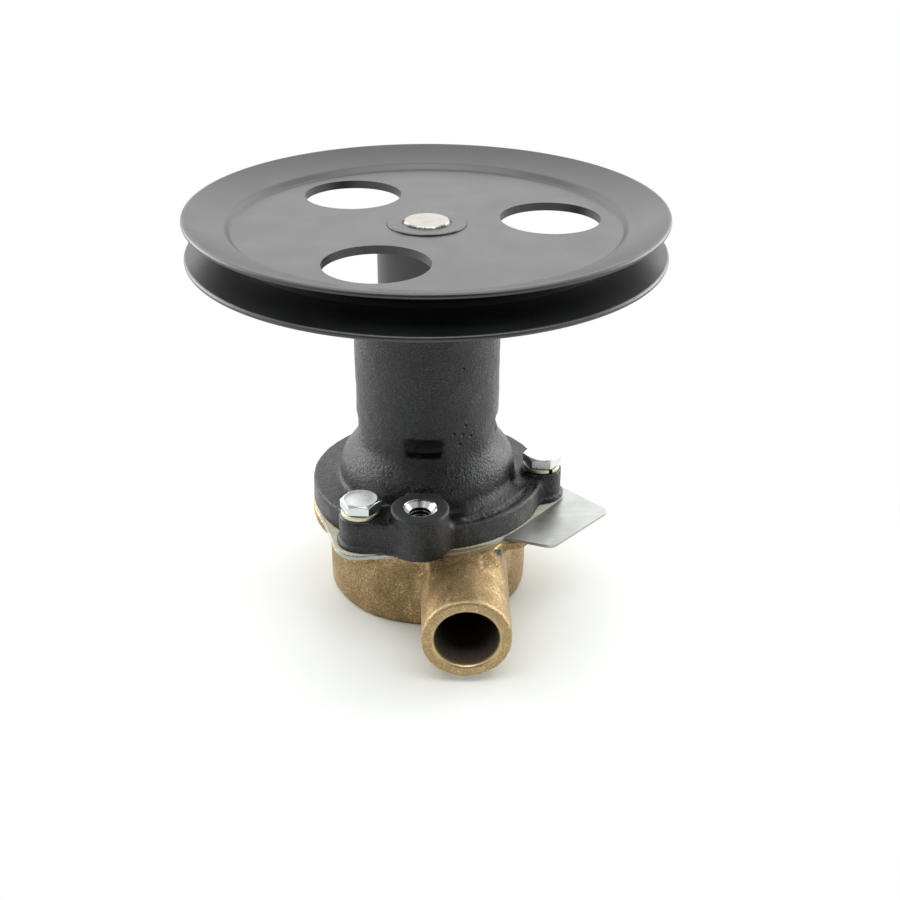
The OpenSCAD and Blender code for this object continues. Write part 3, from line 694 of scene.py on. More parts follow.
def rounded_path(corners: Sequence[Spot], steps: int, closed: bool = False) -> Array:
    """Rounds the corners of a path in a plane: each one with a radius becomes an arc that touches both its sides.

    Args:
        corners: Corners as two coordinates and a radius.
        steps: Number of segments in each arc.
        closed: Whether the path joins its own start.

    Returns:
        The path's points, two numbers each.
    """
    table = np.array(corners, float)
    points: list[Array] = []
    count = len(table)
    for i, (x, y, radius) in enumerate(table):
        at = np.array([x, y])
        if radius <= 0 or (not closed and i in (0, count - 1)):
            points.append(at[None])
            continue
        back, ahead = table[i - 1, :2] - at, table[(i + 1) % count, :2] - at
        back, ahead = back / np.linalg.norm(back), ahead / np.linalg.norm(ahead)
        half = 0.5 * math.acos(float(np.clip(back @ ahead, -1, 1)))
        centre = at + (back + ahead) / np.linalg.norm(back + ahead) * radius / math.sin(half)
        start = at + back * radius / math.tan(half) - centre
        end = at + ahead * radius / math.tan(half) - centre
        share, sweep = np.linspace(0, 1, steps + 1)[:, None], math.pi - 2 * half
        points.append(centre + (np.sin((1 - share) * sweep) * start + np.sin(share * sweep) * end) / math.sin(sweep))
    return np.concatenate(points)


def turns_of(count: int) -> Array:
    """Lists equal steps round the axis, in radians."""
    return np.linspace(0, 2 * np.pi, count, endpoint=False)


def revolved(radius: Array, angle: Array, height: Array) -> Array:
    """Turns radius, angle and height into points: x = r cos a, y = r sin a, z = z."""
    radius, angle, height = np.broadcast_arrays(radius, angle, height)
    return np.stack([radius * np.cos(angle), radius * np.sin(angle), height], axis=-1)


def lathe(profile: Array, turns: int, closed: bool = False, at: Place = AXIS) -> tuple[Array, Array]:
    """Carries a profile round an upright axis.

    Args:
        profile: Points as radius and height.
        turns: Number of steps round the axis.
        closed: Whether the profile is a closed loop.
        at: Place of the axis.

    Returns:
        Points and quads.
    """
    points = revolved(profile[:, 0], turns_of(turns)[:, None], profile[:, 1]) + np.array([*at, 0.0])
    return points.reshape(-1, 3), grid_quads(turns, len(profile), True, closed)


def polar(radius: float, degrees: float) -> Place:
    """Finds a place on a circle round the shaft axis."""
    return radius * math.cos(math.radians(degrees)), radius * math.sin(math.radians(degrees))


def cut_away(piece: bpy.types.Object, cutter: bpy.types.Object) -> None:
    """Cuts one closed piece out of another, removes the cutter and marks the new edges.

    Args:
        piece: The piece that is cut.
        cutter: The closed shape that is taken away.
    """
    cut = piece.modifiers.new("cut", "BOOLEAN")
    cut.operation = "DIFFERENCE"
    cut.solver = "EXACT"
    cut.object = cutter
    result = bpy.data.meshes.new_from_object(piece.evaluated_get(bpy.context.evaluated_depsgraph_get()))
    piece.modifiers.remove(cut)
    old, piece.data = piece.data, result
    bpy.data.meshes.remove(old)
    bpy.data.objects.remove(cutter)
    sharpen(piece.data)


def drill(piece: bpy.types.Object, finish: Finish, at: Place, radius: float, span: Place, turns: int) -> None:
    """Drills an upright round hole through a piece.

    Args:
        piece: The piece.
        finish: Finish of the hole's wall.
        at: Place of the hole's axis.
        radius: Radius of the hole.
        span: Heights between which the tool cuts.
        turns: Number of steps round the hole.
    """
    low, high = span
    edge = np.array([(0.0, low), (radius, low), (radius, high), (0.0, high)])
    cut_away(piece, new_piece("drill_tool", lathe(edge, turns, at=at), finish))


def ease_edges(piece: bpy.types.Object, width_mm: float, segments: int = 2, angle_deg: float = 35.0) -> None:
    """Rounds the sharp edges of a piece with a bevel.

    Args:
        piece: The piece.
        width_mm: Width of the rounding.
        segments: Segments across it.
        angle_deg: Edges sharper than this are rounded.
    """
    bevel = piece.modifiers.new("eased", "BEVEL")
    bevel.width = width_mm * MM
    bevel.segments = segments
    bevel.limit_method = "ANGLE"
    bevel.angle_limit = math.radians(angle_deg)
    bevel.harden_normals = True


def stands_for(piece: bpy.types.Object, body: Body, node: str) -> None:
    """Makes a piece ride on a body in place of a CAD node, and logs it.

    Args:
        piece: The piece.
        body: The body that it rides on.
        node: The node that it replaces.
    """
    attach(piece, body.value)
    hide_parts(node)
    log.info("%s stands for %s: %d faces", piece.name, node, len(piece.data.polygons))


# The three bolts pass through housing, plate, gaskets and body, so all of them share these places.
BOLT_REACH = 44.0
BOLT_TURNS = (-3.5, 116.5, 236.5)
BOLT_PLACES = tuple(polar(BOLT_REACH, turn) for turn in BOLT_TURNS)


# ---- Cast shapes as distance fields ----


def lattice_noise(points: Array, cell_mm: float, seed: int) -> Array:
    """Smooth random field between -1 and 1: numbers on a cubic lattice, blended by a smooth step.

    Args:
        points: Points, three numbers each.
        cell_mm: Spacing of the lattice.
        seed: Seed of the random numbers.

    Returns:
        One value per point.
    """
    size = 64
    table = np.random.default_rng(seed).uniform(-1, 1, (size, size, size)).astype(np.float32)
    scaled = points / cell_mm
    base = np.floor(scaled)
    part = scaled - base
    part = part * part * (3 - 2 * part)
    low = base.astype(np.int64) % size
    high = (low + 1) % size
    total = np.zeros(points.shape[0], np.float32)
    for corner in range(8):
        pick = [(high if corner >> axis & 1 else low)[:, axis] for axis in range(3)]
        weight = np.ones(points.shape[0], np.float32)
        for axis in range(3):
            weight = weight * (part[:, axis] if corner >> axis & 1 else 1 - part[:, axis])
        total += weight * table[pick[0], pick[1], pick[2]]
    return total


def join(a: Array, b: Array, fillet: float) -> Array:
    """Unites two distance fields with a fillet: the smaller value, eased where both are close."""
    h = np.clip(0.5 + 0.5 * (b - a) / fillet, 0, 1)
    return b + (a - b) * h - fillet * h * (1 - h)


def away(p: Array, *places: Place) -> Array:
    """Measures the distance in plan from each point to the nearest of some places."""
    return reduce(np.minimum, [np.hypot(p[:, 0] - x, p[:, 1] - y) for x, y in places])


def ramp(value: Array, low: float, high: float) -> Array:
    """Rises smoothly from 0 at low to 1 at high."""
    share = np.clip((value - low) / (high - low), 0, 1)
    return share * share * (3 - 2 * share)


def band(value: Array, rise: Place, fall: Place) -> Array:
    """Rises smoothly to 1 over one range and falls back over another."""
    return ramp(value, *rise) * (1 - ramp(value, *fall))


def spot(p: Array, at: Place, size: Place) -> Array:
    """Marks a place in plan: 1 there, and less with the distance, as a bell curve."""
    return np.exp(-(((p[:, 0] - at[0]) / size[0]) ** 2 + ((p[:, 1] - at[1]) / size[1]) ** 2))


def eased(side: Array, end: Array, edge: float) -> Array:
    """Joins the distances past two faces at a right angle, both set back by the radius of their rounded edge."""
    return np.minimum(np.maximum(side, end), 0) + np.hypot(np.maximum(side, 0), np.maximum(end, 0)) - edge


def between(z: Array, span: Place, edge: float) -> Array:
    """Measures the distance past the faces of a flat slab, set back by the radius of its rounded edge."""
    return np.abs(z - (span[0] + span[1]) / 2) - ((span[1] - span[0]) / 2 - edge)


def pillar(p: Array, at: Place, radius: float, span: Place, edge: float) -> Array:
    """Measures the distance to an upright round pillar, with its ends rounded by the edge's radius."""
    return eased(away(p, at) - (radius - edge), between(p[:, 2], span, edge), edge)


def strut(p: Array, a: Place, b: Place, radii: Place, span: Place, edge: float) -> Array:
    """Measures the distance to an upright slab whose outline is two circles with their tangents.

    Args:
        p: Points, three numbers each.
        a: Centre of the first circle.
        b: Centre of the second circle.
        radii: Radii of both circles.
        span: Heights of both faces.
        edge: Rounding of both faces' edges.

    Returns:
        One distance per point.
    """
    start, run = np.array(a), np.array(b) - np.array(a)
    share = np.clip(((p[:, :2] - start) @ run) / (run @ run), 0, 1)
    gap = p[:, :2] - start - share[:, None] * run
    side = np.hypot(gap[:, 0], gap[:, 1]) - (radii[0] + share * (radii[1] - radii[0])) + edge
    return eased(side, between(p[:, 2], span, edge), edge)


def skin(distance: Callable[[Array], Array], low: Spot, high: Spot, step: float) -> tuple[Array, Array]:
    """Finds the surface where a distance field is zero, one quad for each lattice edge that it crosses.

    Every lattice cell that the surface passes gets one point, the mean of the places where the surface
    crosses the cell's edges. Two Newton steps along the field's slope then put the points on the surface.

    Args:
        distance: The field, in millimetres, negative inside.
        low: Lowest corner of the lattice.
        high: Highest corner of the lattice.
        step: Spacing of the lattice.

    Returns:
        Points and quads.
    """
    axes = [np.arange(lo, hi + step, step, dtype=np.float32) for lo, hi in zip(low, high)]
    shape = tuple(len(axis) for axis in axes)
    lattice = np.stack(np.meshgrid(*axes, indexing="ij"), axis=-1).reshape(-1, 3)
    values = np.concatenate([distance(part) for part in np.array_split(lattice, 16)]).reshape(shape)
    cells: list[Array] = []
    places: list[Array] = []
    turned: list[Array] = []
    for axis in range(3):
        u, v = (axis + 1) % 3, (axis + 2) % 3
        first = values[tuple(slice(None, -1) if k == axis else slice(None) for k in range(3))]
        second = values[tuple(slice(1, None) if k == axis else slice(None) for k in range(3))]
        hit = (first < 0) != (second < 0)
        index = np.argwhere(hit)
        place = index.astype(np.float64)
        place[:, axis] += first[hit] / (first[hit] - second[hit])
        round_edge = []
        for du, dv in ((0, 0), (-1, 0), (-1, -1), (0, -1)):
            cell = index.copy()
            cell[:, u] += du
            cell[:, v] += dv
            round_edge.append(np.ravel_multi_index(cell.T, shape))
        cells.append(np.stack(round_edge, axis=1))
        places.append(place)
        turned.append(first[hit] >= 0)
    ring, place, flip = np.concatenate(cells), np.concatenate(places), np.concatenate(turned)
    _, quads = np.unique(ring.ravel(), return_inverse=True)
    quads = quads.reshape(-1, 4)
    count = np.bincount(quads.ravel())
    means = [np.bincount(quads.ravel(), np.repeat(place[:, k], 4)) / count for k in range(3)]
    points = np.stack(means, axis=1) * step + np.array(low)
    probe = 0.1 * step
    for _ in range(2):
        here = distance(points)
        slope = np.stack([(distance(points + probe * np.eye(3)[k]) - here) / probe for k in range(3)], axis=1)
        length = np.maximum(np.linalg.norm(slope, axis=1), 0.3)
        move = np.clip(here / length, -0.5 * step, 0.5 * step)
        points = points - (move / length)[:, None] * slope
    quads[flip] = quads[flip][:, ::-1]
    return points, quads


@dataclass
class BearingHousing:
    """Cast iron tower, bell and flange with three ears, two mounting bosses and four weep windows.

    Shapes on the flange start at its root, below its face, and are cut off at the face.
    """

    root_z: float = 31.0
    flange_z: float = 37.0
    flange_top: float = 46.1
    flange_r: float = 44.1
    flange_edge: float = 1.2
    rise_h: float = 2.6
    rise_end_r: float = 38.6
    groove_depth: float = 1.3
    groove_r: tuple[Place, Place] = ((38.2, 39.4), (40.6, 42.0))
    sand_r: tuple[Place, Place] = ((38.0, 39.2), (41.2, 42.2))
    lip_t: float = 1.1
    lip_z: Place = (38.6, 39.5)
    ear_r: float = 7.5
    ear_top: float = 48.7
    ear_edge: float = 0.5
    ear_fillet: float = 3.5
    web_r: float = 7.0
    web_top: float = 48.3
    web_edge: float = 0.8
    web_fillet: float = 1.6
    bolt_r: float = 4.05
    boss_r: float = 10.5
    boss_edge: float = 0.45
    boss_reach: float = 41.6
    boss_top: float = 53.6
    boss_turns: Place = (-94.0, 86.0)
    thread_r: float = 3.9
    thread_pitch: float = 1.5
    thread_depth: float = 9.0
    sink_r: float = 6.0
    sink_depth: float = 2.1
    bell_r: float = 33.4
    bell_straight_z: float = 49.2
    bell_round: Place = (10.0, 12.2)
    bell_fillet: float = 2.2
    tower_r: Place = (26.5, 26.9)
    tower_top: float = 112.6
    tower_edge: float = 0.9
    tower_fillet: float = 4.5
    sector_turns: tuple[Place, Place] = ((-76.0, -66.0), (-24.0, -14.0))
    window_turns: tuple[float, ...] = (-93.0, -3.0, 87.0, 177.0)
    window_z: float = 68.5
    window_half: Place = (6.8, 3.65)
    window_corner: float = 1.6
    window_fillet: float = 1.0
    bores: tuple[Spot, ...] = (
        (17.0, 36.0, 56.4),
        (13.5, 56.0, 61.9),
        (9.5, 61.0, 64.4),
        (18.5, 64.4, 73.4),
        (11.5, 73.0, 75.0),
        (15.0, 74.7, 80.3),
        (20.0, 80.3, 113.0),
        (21.0, 109.1, 110.85),
    )
    corners: tuple[Spot, Spot] = ((-55.0, -55.0, 35.0), (56.0, 55.0, 115.0))
    step: float = 0.78

    @property
    def bosses(self) -> list[Place]:
        """Places of both mounting bosses."""
        return [polar(self.boss_reach, turn) for turn in self.boss_turns]

    def flange(self, p: Array, sector: Array) -> Array:
        """Measures the distance to the flange, whose top rises to the bell in one sector, past a shallow groove.

        Args:
            p: Points, three numbers each.
            sector: How far each point is in that sector.

        Returns:
            One distance per point.
        """
        reach = away(p, AXIS)
        slope = self.rise_h * (1 - ramp(reach, self.bell_r - 1.0, self.rise_end_r))
        rise = sector * (slope - self.groove_depth * band(reach, *self.groove_r))
        span = (self.root_z, self.flange_top)
        disc = pillar(p, AXIS, self.flange_r, span, self.flange_edge)
        disc = np.maximum(disc, self.flange_z - p[:, 2])
        level = np.column_stack([p[:, :2], p[:, 2] - rise])
        return disc + sector * (pillar(level, AXIS, self.flange_r, span, self.flange_edge) - disc)

    def bell(self, p: Array) -> Array:
        """Measures the distance to the bell, an upright cylinder with an elliptic shoulder.

        Args:
            p: Points, three numbers each.

        Returns:
            One distance per point, close to exact near the surface.
        """
        across, upward = self.bell_round
        over = np.maximum((away(p, AXIS) - (self.bell_r - across)) / across, 0)
        up = np.maximum((p[:, 2] - self.bell_straight_z) / upward, 0)
        size, slope = np.hypot(over, up), np.hypot(over / across, up / upward)
        shoulder = np.where(size > 0, size * (size - 1) / np.maximum(slope, 1e-6), -across)
        return np.maximum(shoulder, self.flange_z - p[:, 2])

    def outside(self, p: Array) -> Array:
        """Measures the distance to the casting without its bores.

        Args:
            p: Points, three numbers each.

        Returns:
            One distance per point.
        """
        z, reach = p[:, 2], away(p, AXIS)
        sector = band(np.degrees(np.arctan2(p[:, 1], p[:, 0])), *self.sector_turns)
        shape = self.flange(p, sector)
        lip = self.lip_t * (1 - ramp(z, *self.lip_z))
        for at in BOLT_PLACES:
            ear = pillar(p, at, self.ear_r, (self.root_z, self.ear_top), self.ear_edge)
            shape = join(shape, ear - lip, self.ear_fillet)
        for start, end in zip((BOLT_PLACES[2], BOLT_PLACES[1]), self.bosses):
            web = strut(p, start, end, (self.ear_r, self.web_r), (self.root_z, self.web_top), self.web_edge)
            shape = join(shape, web - lip, self.web_fillet)
        shape = join(shape, self.bell(p), self.bell_fillet)
        share = np.clip((z - self.bell_straight_z) / (self.tower_top - self.bell_straight_z), 0, 1)
        side = reach - (self.tower_r[0] + share * (self.tower_r[1] - self.tower_r[0])) + self.tower_edge
        end = np.maximum(z - (self.tower_top - self.tower_edge), self.flange_z - z)
        shape = join(shape, eased(side, end, self.tower_edge), self.tower_fillet)
        fillet = 2.4 - 1.7 * ramp(z, self.boss_top - 4.0, self.boss_top - 1.0)
        for at in self.bosses:
            boss = pillar(p, at, self.boss_r, (self.root_z, self.boss_top), self.boss_edge)
            shape = join(shape, boss, fillet)
        waves = 0.16 * lattice_noise(p, 9.0, 3) + 0.09 * lattice_noise(p, 3.1, 4)
        machined = ramp(z, self.tower_top - 2.0, self.tower_top - 1.0)
        rough = sector * band(reach, *self.sand_r) * ramp(z, 43.5, 44.6)
        hollow = spot(p, (self.bosses[0][0], -32.5), (6.0, 2.2))
        hollow = hollow * ramp(z, self.boss_top + 0.4, self.boss_top + 1.4)
        runs = lattice_noise(p * np.array([0.35, 1.0, 1.0]), 1.1, 7)
        waves = waves * (1 - machined) + 0.4 * rough * lattice_noise(p, 1.2, 6) + 0.3 * hollow * runs
        return np.maximum(shape + waves, self.flange_z - z)

    def windows(self, p: Array) -> Array:
        """Measures the distance to the four weep windows, as bars that run outwards from the axis.

        Args:
            p: Points, three numbers each.

        Returns:
            One distance per point.
        """
        up = np.abs(p[:, 2] - self.window_z) - self.window_half[1] + self.window_corner
        bars = []
        for turn in self.window_turns:
            c, s = polar(1.0, turn)
            side = np.abs(c * p[:, 1] - s * p[:, 0]) - self.window_half[0] + self.window_corner
            bars.append(np.maximum(eased(side, up, self.window_corner), 10.0 - (c * p[:, 0] + s * p[:, 1])))
        return reduce(np.minimum, bars)

    def distance(self, p: Array) -> Array:
        """Measures the distance to the whole casting, with its windows, bores and threaded holes.

        Args:
            p: Points, three numbers each.

        Returns:
            One distance per point.
        """
        z, reach = p[:, 2], away(p, AXIS)
        shape = -join(-self.outside(p), self.windows(p), self.window_fillet)
        for radius, low, high in self.bores:
            shape = np.maximum(shape, -np.maximum(np.maximum(reach - radius, low - z), z - high))
        shape = np.maximum(shape, self.bolt_r - away(p, *BOLT_PLACES))
        tapped = np.minimum(self.thread_r + np.maximum(z - (self.boss_top - self.sink_depth), 0), self.sink_r)
        return np.maximum(shape, (tapped - away(p, *self.bosses)) * math.sqrt(0.5))

    def thread(self, name: str, at: Place) -> None:
        """Makes the bright liner of one tapped hole: a countersink, then the thread's ridges.

        Args:
            name: Name of the piece.
            at: Place of the hole's axis.
        """
        sink_z = self.boss_top - self.sink_depth
        z = sink_z - np.arange(0, self.thread_depth, self.thread_pitch / 2)
        r = np.where(np.arange(len(z)) % 2 == 0, self.thread_r - 0.06, self.thread_r + 0.55)
        wall = self.thread_r + 0.75
        rim = [(self.sink_r + 0.02, self.boss_top + 0.01)]
        back = [(wall, z[-1]), (wall, sink_z - 0.6), (self.sink_r + 0.3, self.boss_top - 0.2)]
        profile = np.concatenate([rim, np.column_stack([r, z]), back])
        piece = new_piece(name, lathe(profile, 96, True, at), CUT_IRON, Shade.CRISP)
        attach(piece, Body.ROOT.value)
        log.info("%s: %d faces", piece.name, len(piece.data.polygons))

    def build(self) -> None:
        """Makes the casting and its bright countersinks."""
        p, quads = skin(self.distance, *self.corners, self.step)
        z, boss = p[:, 2], self.bosses[0]
        pool = np.maximum(
            1 - away(p, (boss[0] * 0.86, boss[1] * 0.86)) / 11.0, 1 - away(p, polar(38.0, -20.0)) / 7.0
        )
        pad = (away(p, *BOLT_PLACES) < self.ear_r + 0.3) & (z > self.ear_top - 0.8)
        inside = (away(p, AXIS) < 21.5) & (z < self.tower_top - 1.0)
        matte = (away(p, *self.bosses) < self.boss_r + 0.2) & (np.abs(z - self.boss_top) < 0.5)
        marks = {
            "pool": np.clip(pool * (z < 56.0) * 2.0, 0, 1),
            "machined": pad | (z > self.tower_top - 0.8) | inside | matte,
            "matte": matte,
            # Inside the bore the finish paints a pale grey, as painted light on the shaded inside.
            "painted_inner_light": inside,
        }
        piece = new_piece("bearing_housing_casting", (p, quads), IRON_PAINT, marks=marks)
        stands_for(piece, Body.ROOT, "bearing_housing")
        for i, at in enumerate(self.bosses):
            self.thread(f"boss_thread_{i + 1}", at)


@dataclass
class PumpBody:
    """Bronze casting: round chamber, flange with three ears and a lug, and two hose ports.

    Shapes on the flange run on above its face, up to the head height, and are cut off at the face.
    """

    radius: float = 38.3
    foot_edge: float = 1.8
    height: float = 34.8
    head_z: float = 40.8
    floor: float = 5.0
    flange_r: float = 44.5
    flange_t: float = 3.8
    flange_edge: float = 0.7
    flange_fillet: float = 3.2
    ear_r: float = 7.5
    ear_fillet: float = 3.0
    bolt_r: float = 4.0
    lug: Place = (31.0, -27.5)
    lug_root: Place = (8.0, -7.0)
    lug_r: float = 7.0
    port_r: float = 16.0
    port_root: Place = (0.25, 51.0)
    port_edge: float = 1.3
    port_bore_r: float = 11.3
    port_reach: float = 73.0
    port_x: float = 13.2
    port_z: float = 18.5
    port_start: float = 20.0
    port_fillet: float = 4.5
    saddle_half: float = 11.5
    saddle_end: float = 50.0
    saddle_drop: float = 1.1
    saddle_slope: float = 0.9
    saddle_slope_from: float = 43.0
    saddle_fillet: float = 5.0
    chamber_r: float = 32.0
    cam_near: float = 26.6
    cam_r: float = 160.0
    scar: Place = (-0.3, -41.0)
    corners: tuple[Spot, Spot] = ((-54.0, -75.0, -2.0), (54.0, 75.0, 37.0))
    step: float = 0.8

    def port(self, p: Array) -> Array:
        """Measures the distance to both hose ports, and the saddle that ties each one to the flange.

        Args:
            p: Points, three numbers each.

        Returns:
            One distance per point.
        """
        away_y, across = np.abs(p[:, 1]), p[:, 0] - self.port_x
        root = self.port_root[0] * (1 - ramp(away_y, self.port_root[1] - 1.5, self.port_root[1] + 0.5))
        side = np.hypot(across, p[:, 2] - self.port_z) - self.port_r - root + self.port_edge
        end = np.maximum(away_y - self.port_reach + self.port_edge, self.port_start - away_y)
        crest = self.height - self.saddle_drop - self.saddle_slope * np.maximum(away_y - self.saddle_slope_from, 0)
        saddle = np.maximum(np.maximum(np.abs(across) - self.saddle_half, away_y - self.saddle_end), p[:, 2] - crest)
        saddle = np.maximum(saddle, np.maximum(self.port_z - p[:, 2], self.port_start - away_y))
        return join(eased(side, end, self.port_edge), saddle, self.saddle_fillet)

    def outside(self, p: Array) -> Array:
        """Measures the distance to the casting without its chamber and bores.

        Args:
            p: Points, three numbers each.

        Returns:
            One distance per point.
        """
        z, near_y, away_y = p[:, 2], -p[:, 1], np.abs(p[:, 1])
        span = (self.height - self.flange_t, self.head_z)
        rim = pillar(p, AXIS, self.flange_r, span, self.flange_edge)
        for ear in BOLT_PLACES:
            rim = join(rim, pillar(p, ear, self.ear_r, span, self.flange_edge), self.ear_fillet)
        lug = strut(p, self.lug_root, self.lug, (self.lug_r, self.lug_r), span, self.flange_edge)
        drum = pillar(p, AXIS, self.radius, (0.0, self.head_z), self.foot_edge)
        shape = join(drum, join(rim, lug, self.ear_fillet), self.flange_fillet)
        shape = join(shape, self.port(p), self.port_fillet)
        waves = 0.18 * lattice_noise(p, 8.0, 11) + 0.1 * lattice_noise(p, 2.6, 12)
        ridge = ramp(z, 25.0, 31.0) * band(near_y, (36.0, 40.0), (47.0, 52.0))
        ridge = ridge * ramp(p[:, 0] - self.port_x, -8.0, 0.0)
        mouth = ramp(away_y, self.port_reach - 2.5, self.port_reach - 0.8)
        waves = waves * (1 - 0.5 * mouth) + 0.12 * mouth * lattice_noise(p, 1.1, 14)
        waves = waves + (0.55 * spot(p, self.scar, (3.5, 4.0)) + 0.28 * ridge) * lattice_noise(p, 1.5, 13)
        shape = np.maximum(np.maximum(shape + waves, z - self.height), away_y - self.port_reach)
        return np.maximum(shape, -z)

    def distance(self, p: Array) -> Array:
        """Measures the distance to the whole casting.

        Args:
            p: Points, three numbers each.

        Returns:
            One distance per point.
        """
        cam = away(p, (self.cam_near - self.cam_r, 0.0)) - self.cam_r
        chamber = np.maximum(np.maximum(away(p, AXIS) - self.chamber_r, cam), self.floor - p[:, 2])
        flare = np.maximum(np.abs(p[:, 1]) - self.port_reach + 0.9, 0)
        bore = np.hypot(p[:, 0] - self.port_x, p[:, 2] - self.port_z) - self.port_bore_r - flare
        shape = np.maximum(np.maximum(self.outside(p), -chamber), -bore)
        return np.maximum(shape, self.bolt_r - away(p, *BOLT_PLACES))

    def build(self) -> None:
        """Makes the casting, with marks for machined faces, rough patches and the brown patina inside."""
        p, quads = skin(self.distance, *self.corners, self.step)
        z, near_y, away_y, reach = p[:, 2], -p[:, 1], np.abs(p[:, 1]), away(p, AXIS)
        bore = np.hypot(p[:, 0] - self.port_x, z - self.port_z)
        mouth = ramp(away_y, self.port_reach - 2.2, self.port_reach - 0.9)
        machined = np.maximum(0.3 * mouth, ramp(away_y, 71.5, 72.4) * (bore < self.port_bore_r + 1.1))
        face = (z > self.height - 0.3) & ((reach < self.flange_r + 0.2) | (away_y < 40.0))
        # Rough patches get a coarser relief, and a lighter colour that is a painted glint.
        rough = ramp(z, 24.0, 30.0) * band(near_y, (34.0, 40.0), (50.0, 56.0))
        rough = np.clip(rough * 0.6 + spot(p, self.scar, (4.0, 5.0)) + mouth * 0.6, 0, 1)
        smooth = spot(p, (8.0, -52.0), (8.0, 8.0)) * (z > 20.0)
        patina = ramp(-bore, -self.port_bore_r - 0.4, -self.port_bore_r - 0.1) * (1 - ramp(away_y, 71.0, 72.2))
        patina = np.maximum(patina, (reach < self.chamber_r + 0.4) & (z > self.floor - 0.4) & (bore > 0))
        marks = {
            "machined": np.maximum(machined, face),
            "rough": rough - 0.45 * smooth,
            "patina": patina * (z < self.height - 0.3),
        }
        piece = new_piece("pump_body_casting", (p, quads), BRONZE, marks=marks)
        stands_for(piece, Body.ROOT, "pump_body")


# ---- Turned, pressed and cut pieces ----


@dataclass
class Pulley:
    """Two pressed discs back to back, and the welded hub under them."""

    split_z: float = 143.3
    sheet: float = 1.5
    centre_r: float = 14.1
    web_r: float = 68.6
    joggle: float = 2.0
    slope_deg: float = 17.0
    lip_reach: float = 83.72
    lip_r: float = 1.0
    hole_r: float = 18.0
    hole_reach: float = 44.4
    hole_turn: float = 8.2
    hole_span: Place = (135.0, 152.0)
    hub_r: float = 17.7
    hub_z: float = 114.1
    nose_r: float = 11.5
    nose_z: float = 109.1
    spigot_lift: float = 0.6
    shaft_r: float = 8.5
    weld_leg: float = 2.4
    weld_belly: float = 0.5
    turns: int = 360

    def disc(self, name: str, side: int) -> bpy.types.Object:
        """Makes one disc: a centre line with pressed bends, given its thickness, ending in a rolled lip.

        Args:
            name: Name of the piece.
            side: 1 for the upper disc, -1 for the lower one.

        Returns:
            The disc.
        """
        half, ahead = self.sheet / 2, math.radians(self.slope_deg)
        step_r = self.web_r + self.joggle
        rise = (self.lip_reach - step_r) * math.tan(ahead)
        bends = [
            (self.centre_r + 0.05, half, 0),
            (self.web_r, half, 2.2),
            (step_r, self.joggle + half, 1.6),
            (self.lip_reach, self.joggle + rise + half, 0),
        ]
        line = rounded_path(bends, 8)
        heading = np.gradient(line, axis=0)
        heading /= np.linalg.norm(heading, axis=1)[:, None]
        left = np.column_stack([-heading[:, 1], heading[:, 0]]) * half
        opening = math.asin(half / self.lip_r)
        around = np.linspace(math.pi - opening, -math.pi + opening, 28)[1:-1] + ahead
        bead = line[-1] + self.lip_r * np.column_stack([np.cos(around), np.sin(around)])
        profile = np.concatenate([(line + left)[:-1], bead, (line - left)[:-1][::-1]])
        profile[:, 1] = self.split_z + side * profile[:, 1]
        piece = new_piece(name, lathe(profile, self.turns, closed=True), PULLEY_PAINT)
        for i in range(3):
            at = polar(self.hole_reach, self.hole_turn + 120 * i)
            drill(piece, PULLEY_PAINT, at, self.hole_r, self.hole_span, 144)
        ease_edges(piece, 0.18)
        return piece

    def hub(self) -> bpy.types.Object:
        """Makes the hub: a profile carried round the axis, with a weld bead and a slightly burred top edge.

        Three sine waves of the angle scale the bead's legs, and half a sine wave across it gives its belly.

        Returns:
            The hub.
        """
        web_low, top = self.split_z - self.sheet, self.split_z + self.sheet + self.spigot_lift
        base_corners = [
            (self.shaft_r, self.nose_z, 0.0),
            (self.nose_r, self.nose_z, 0.4),
            (self.nose_r, self.hub_z, 0.0),
            (self.hub_r, self.hub_z, 0.8),
            (self.hub_r, web_low - self.weld_leg, 0.0),
        ]
        crown_corners = [
            (self.centre_r, web_low, 0.0),
            (self.centre_r, top, 0.35),
            (self.centre_r - 0.9, top, 0.0),
            (self.shaft_r + 0.3, top, 0.0),
            (self.shaft_r, top - 0.3, 0.0),
        ]
        base, crown = rounded_path(base_corners, 5), rounded_path(crown_corners, 5)
        angle, share = turns_of(self.turns)[:, None], np.linspace(0, 1, 9)[None, :]
        swell = 1 + 0.16 * np.sin(19 * angle) + 0.1 * np.sin(31 * angle + 1.0) + 0.08 * np.sin(7 * angle)
        leg, belly = self.weld_leg * swell, self.weld_belly * np.sin(np.pi * share)
        bead_z = np.minimum(web_low - leg * (1 - share) - belly * 0.8, web_low)
        rim = revolved(self.centre_r, angle[:, 0], 0.0)
        burr = 0.1 * lattice_noise(rim, 1.7, 21)[:, None] + 0.06 * lattice_noise(rim, 0.8, 22)[:, None]
        edge_only = (crown[:, 0] > self.centre_r - 0.5) & (crown[:, 1] > top - 0.4)
        rings = [
            revolved(base[:, 0], angle, base[:, 1]),
            revolved(self.hub_r + leg * share + belly, angle, bead_z),
            revolved(crown[:, 0], angle, crown[:, 1] + burr * edge_only),
        ]
        points = np.concatenate(rings, axis=1)
        surface = points.reshape(-1, 3), grid_quads(self.turns, points.shape[1], True, True)
        return new_piece("pulley_hub_turned", surface, PULLEY_PAINT, Shade.CRISP)

    def build(self) -> None:
        """Makes discs and hub."""
        stands_for(self.disc("pulley_disc_upper", 1), Body.ROTOR, "pulley_upper_disc")
        stands_for(self.disc("pulley_disc_lower", -1), Body.ROTOR, "pulley_lower_disc")
        stands_for(self.hub(), Body.ROTOR, "pulley_hub")


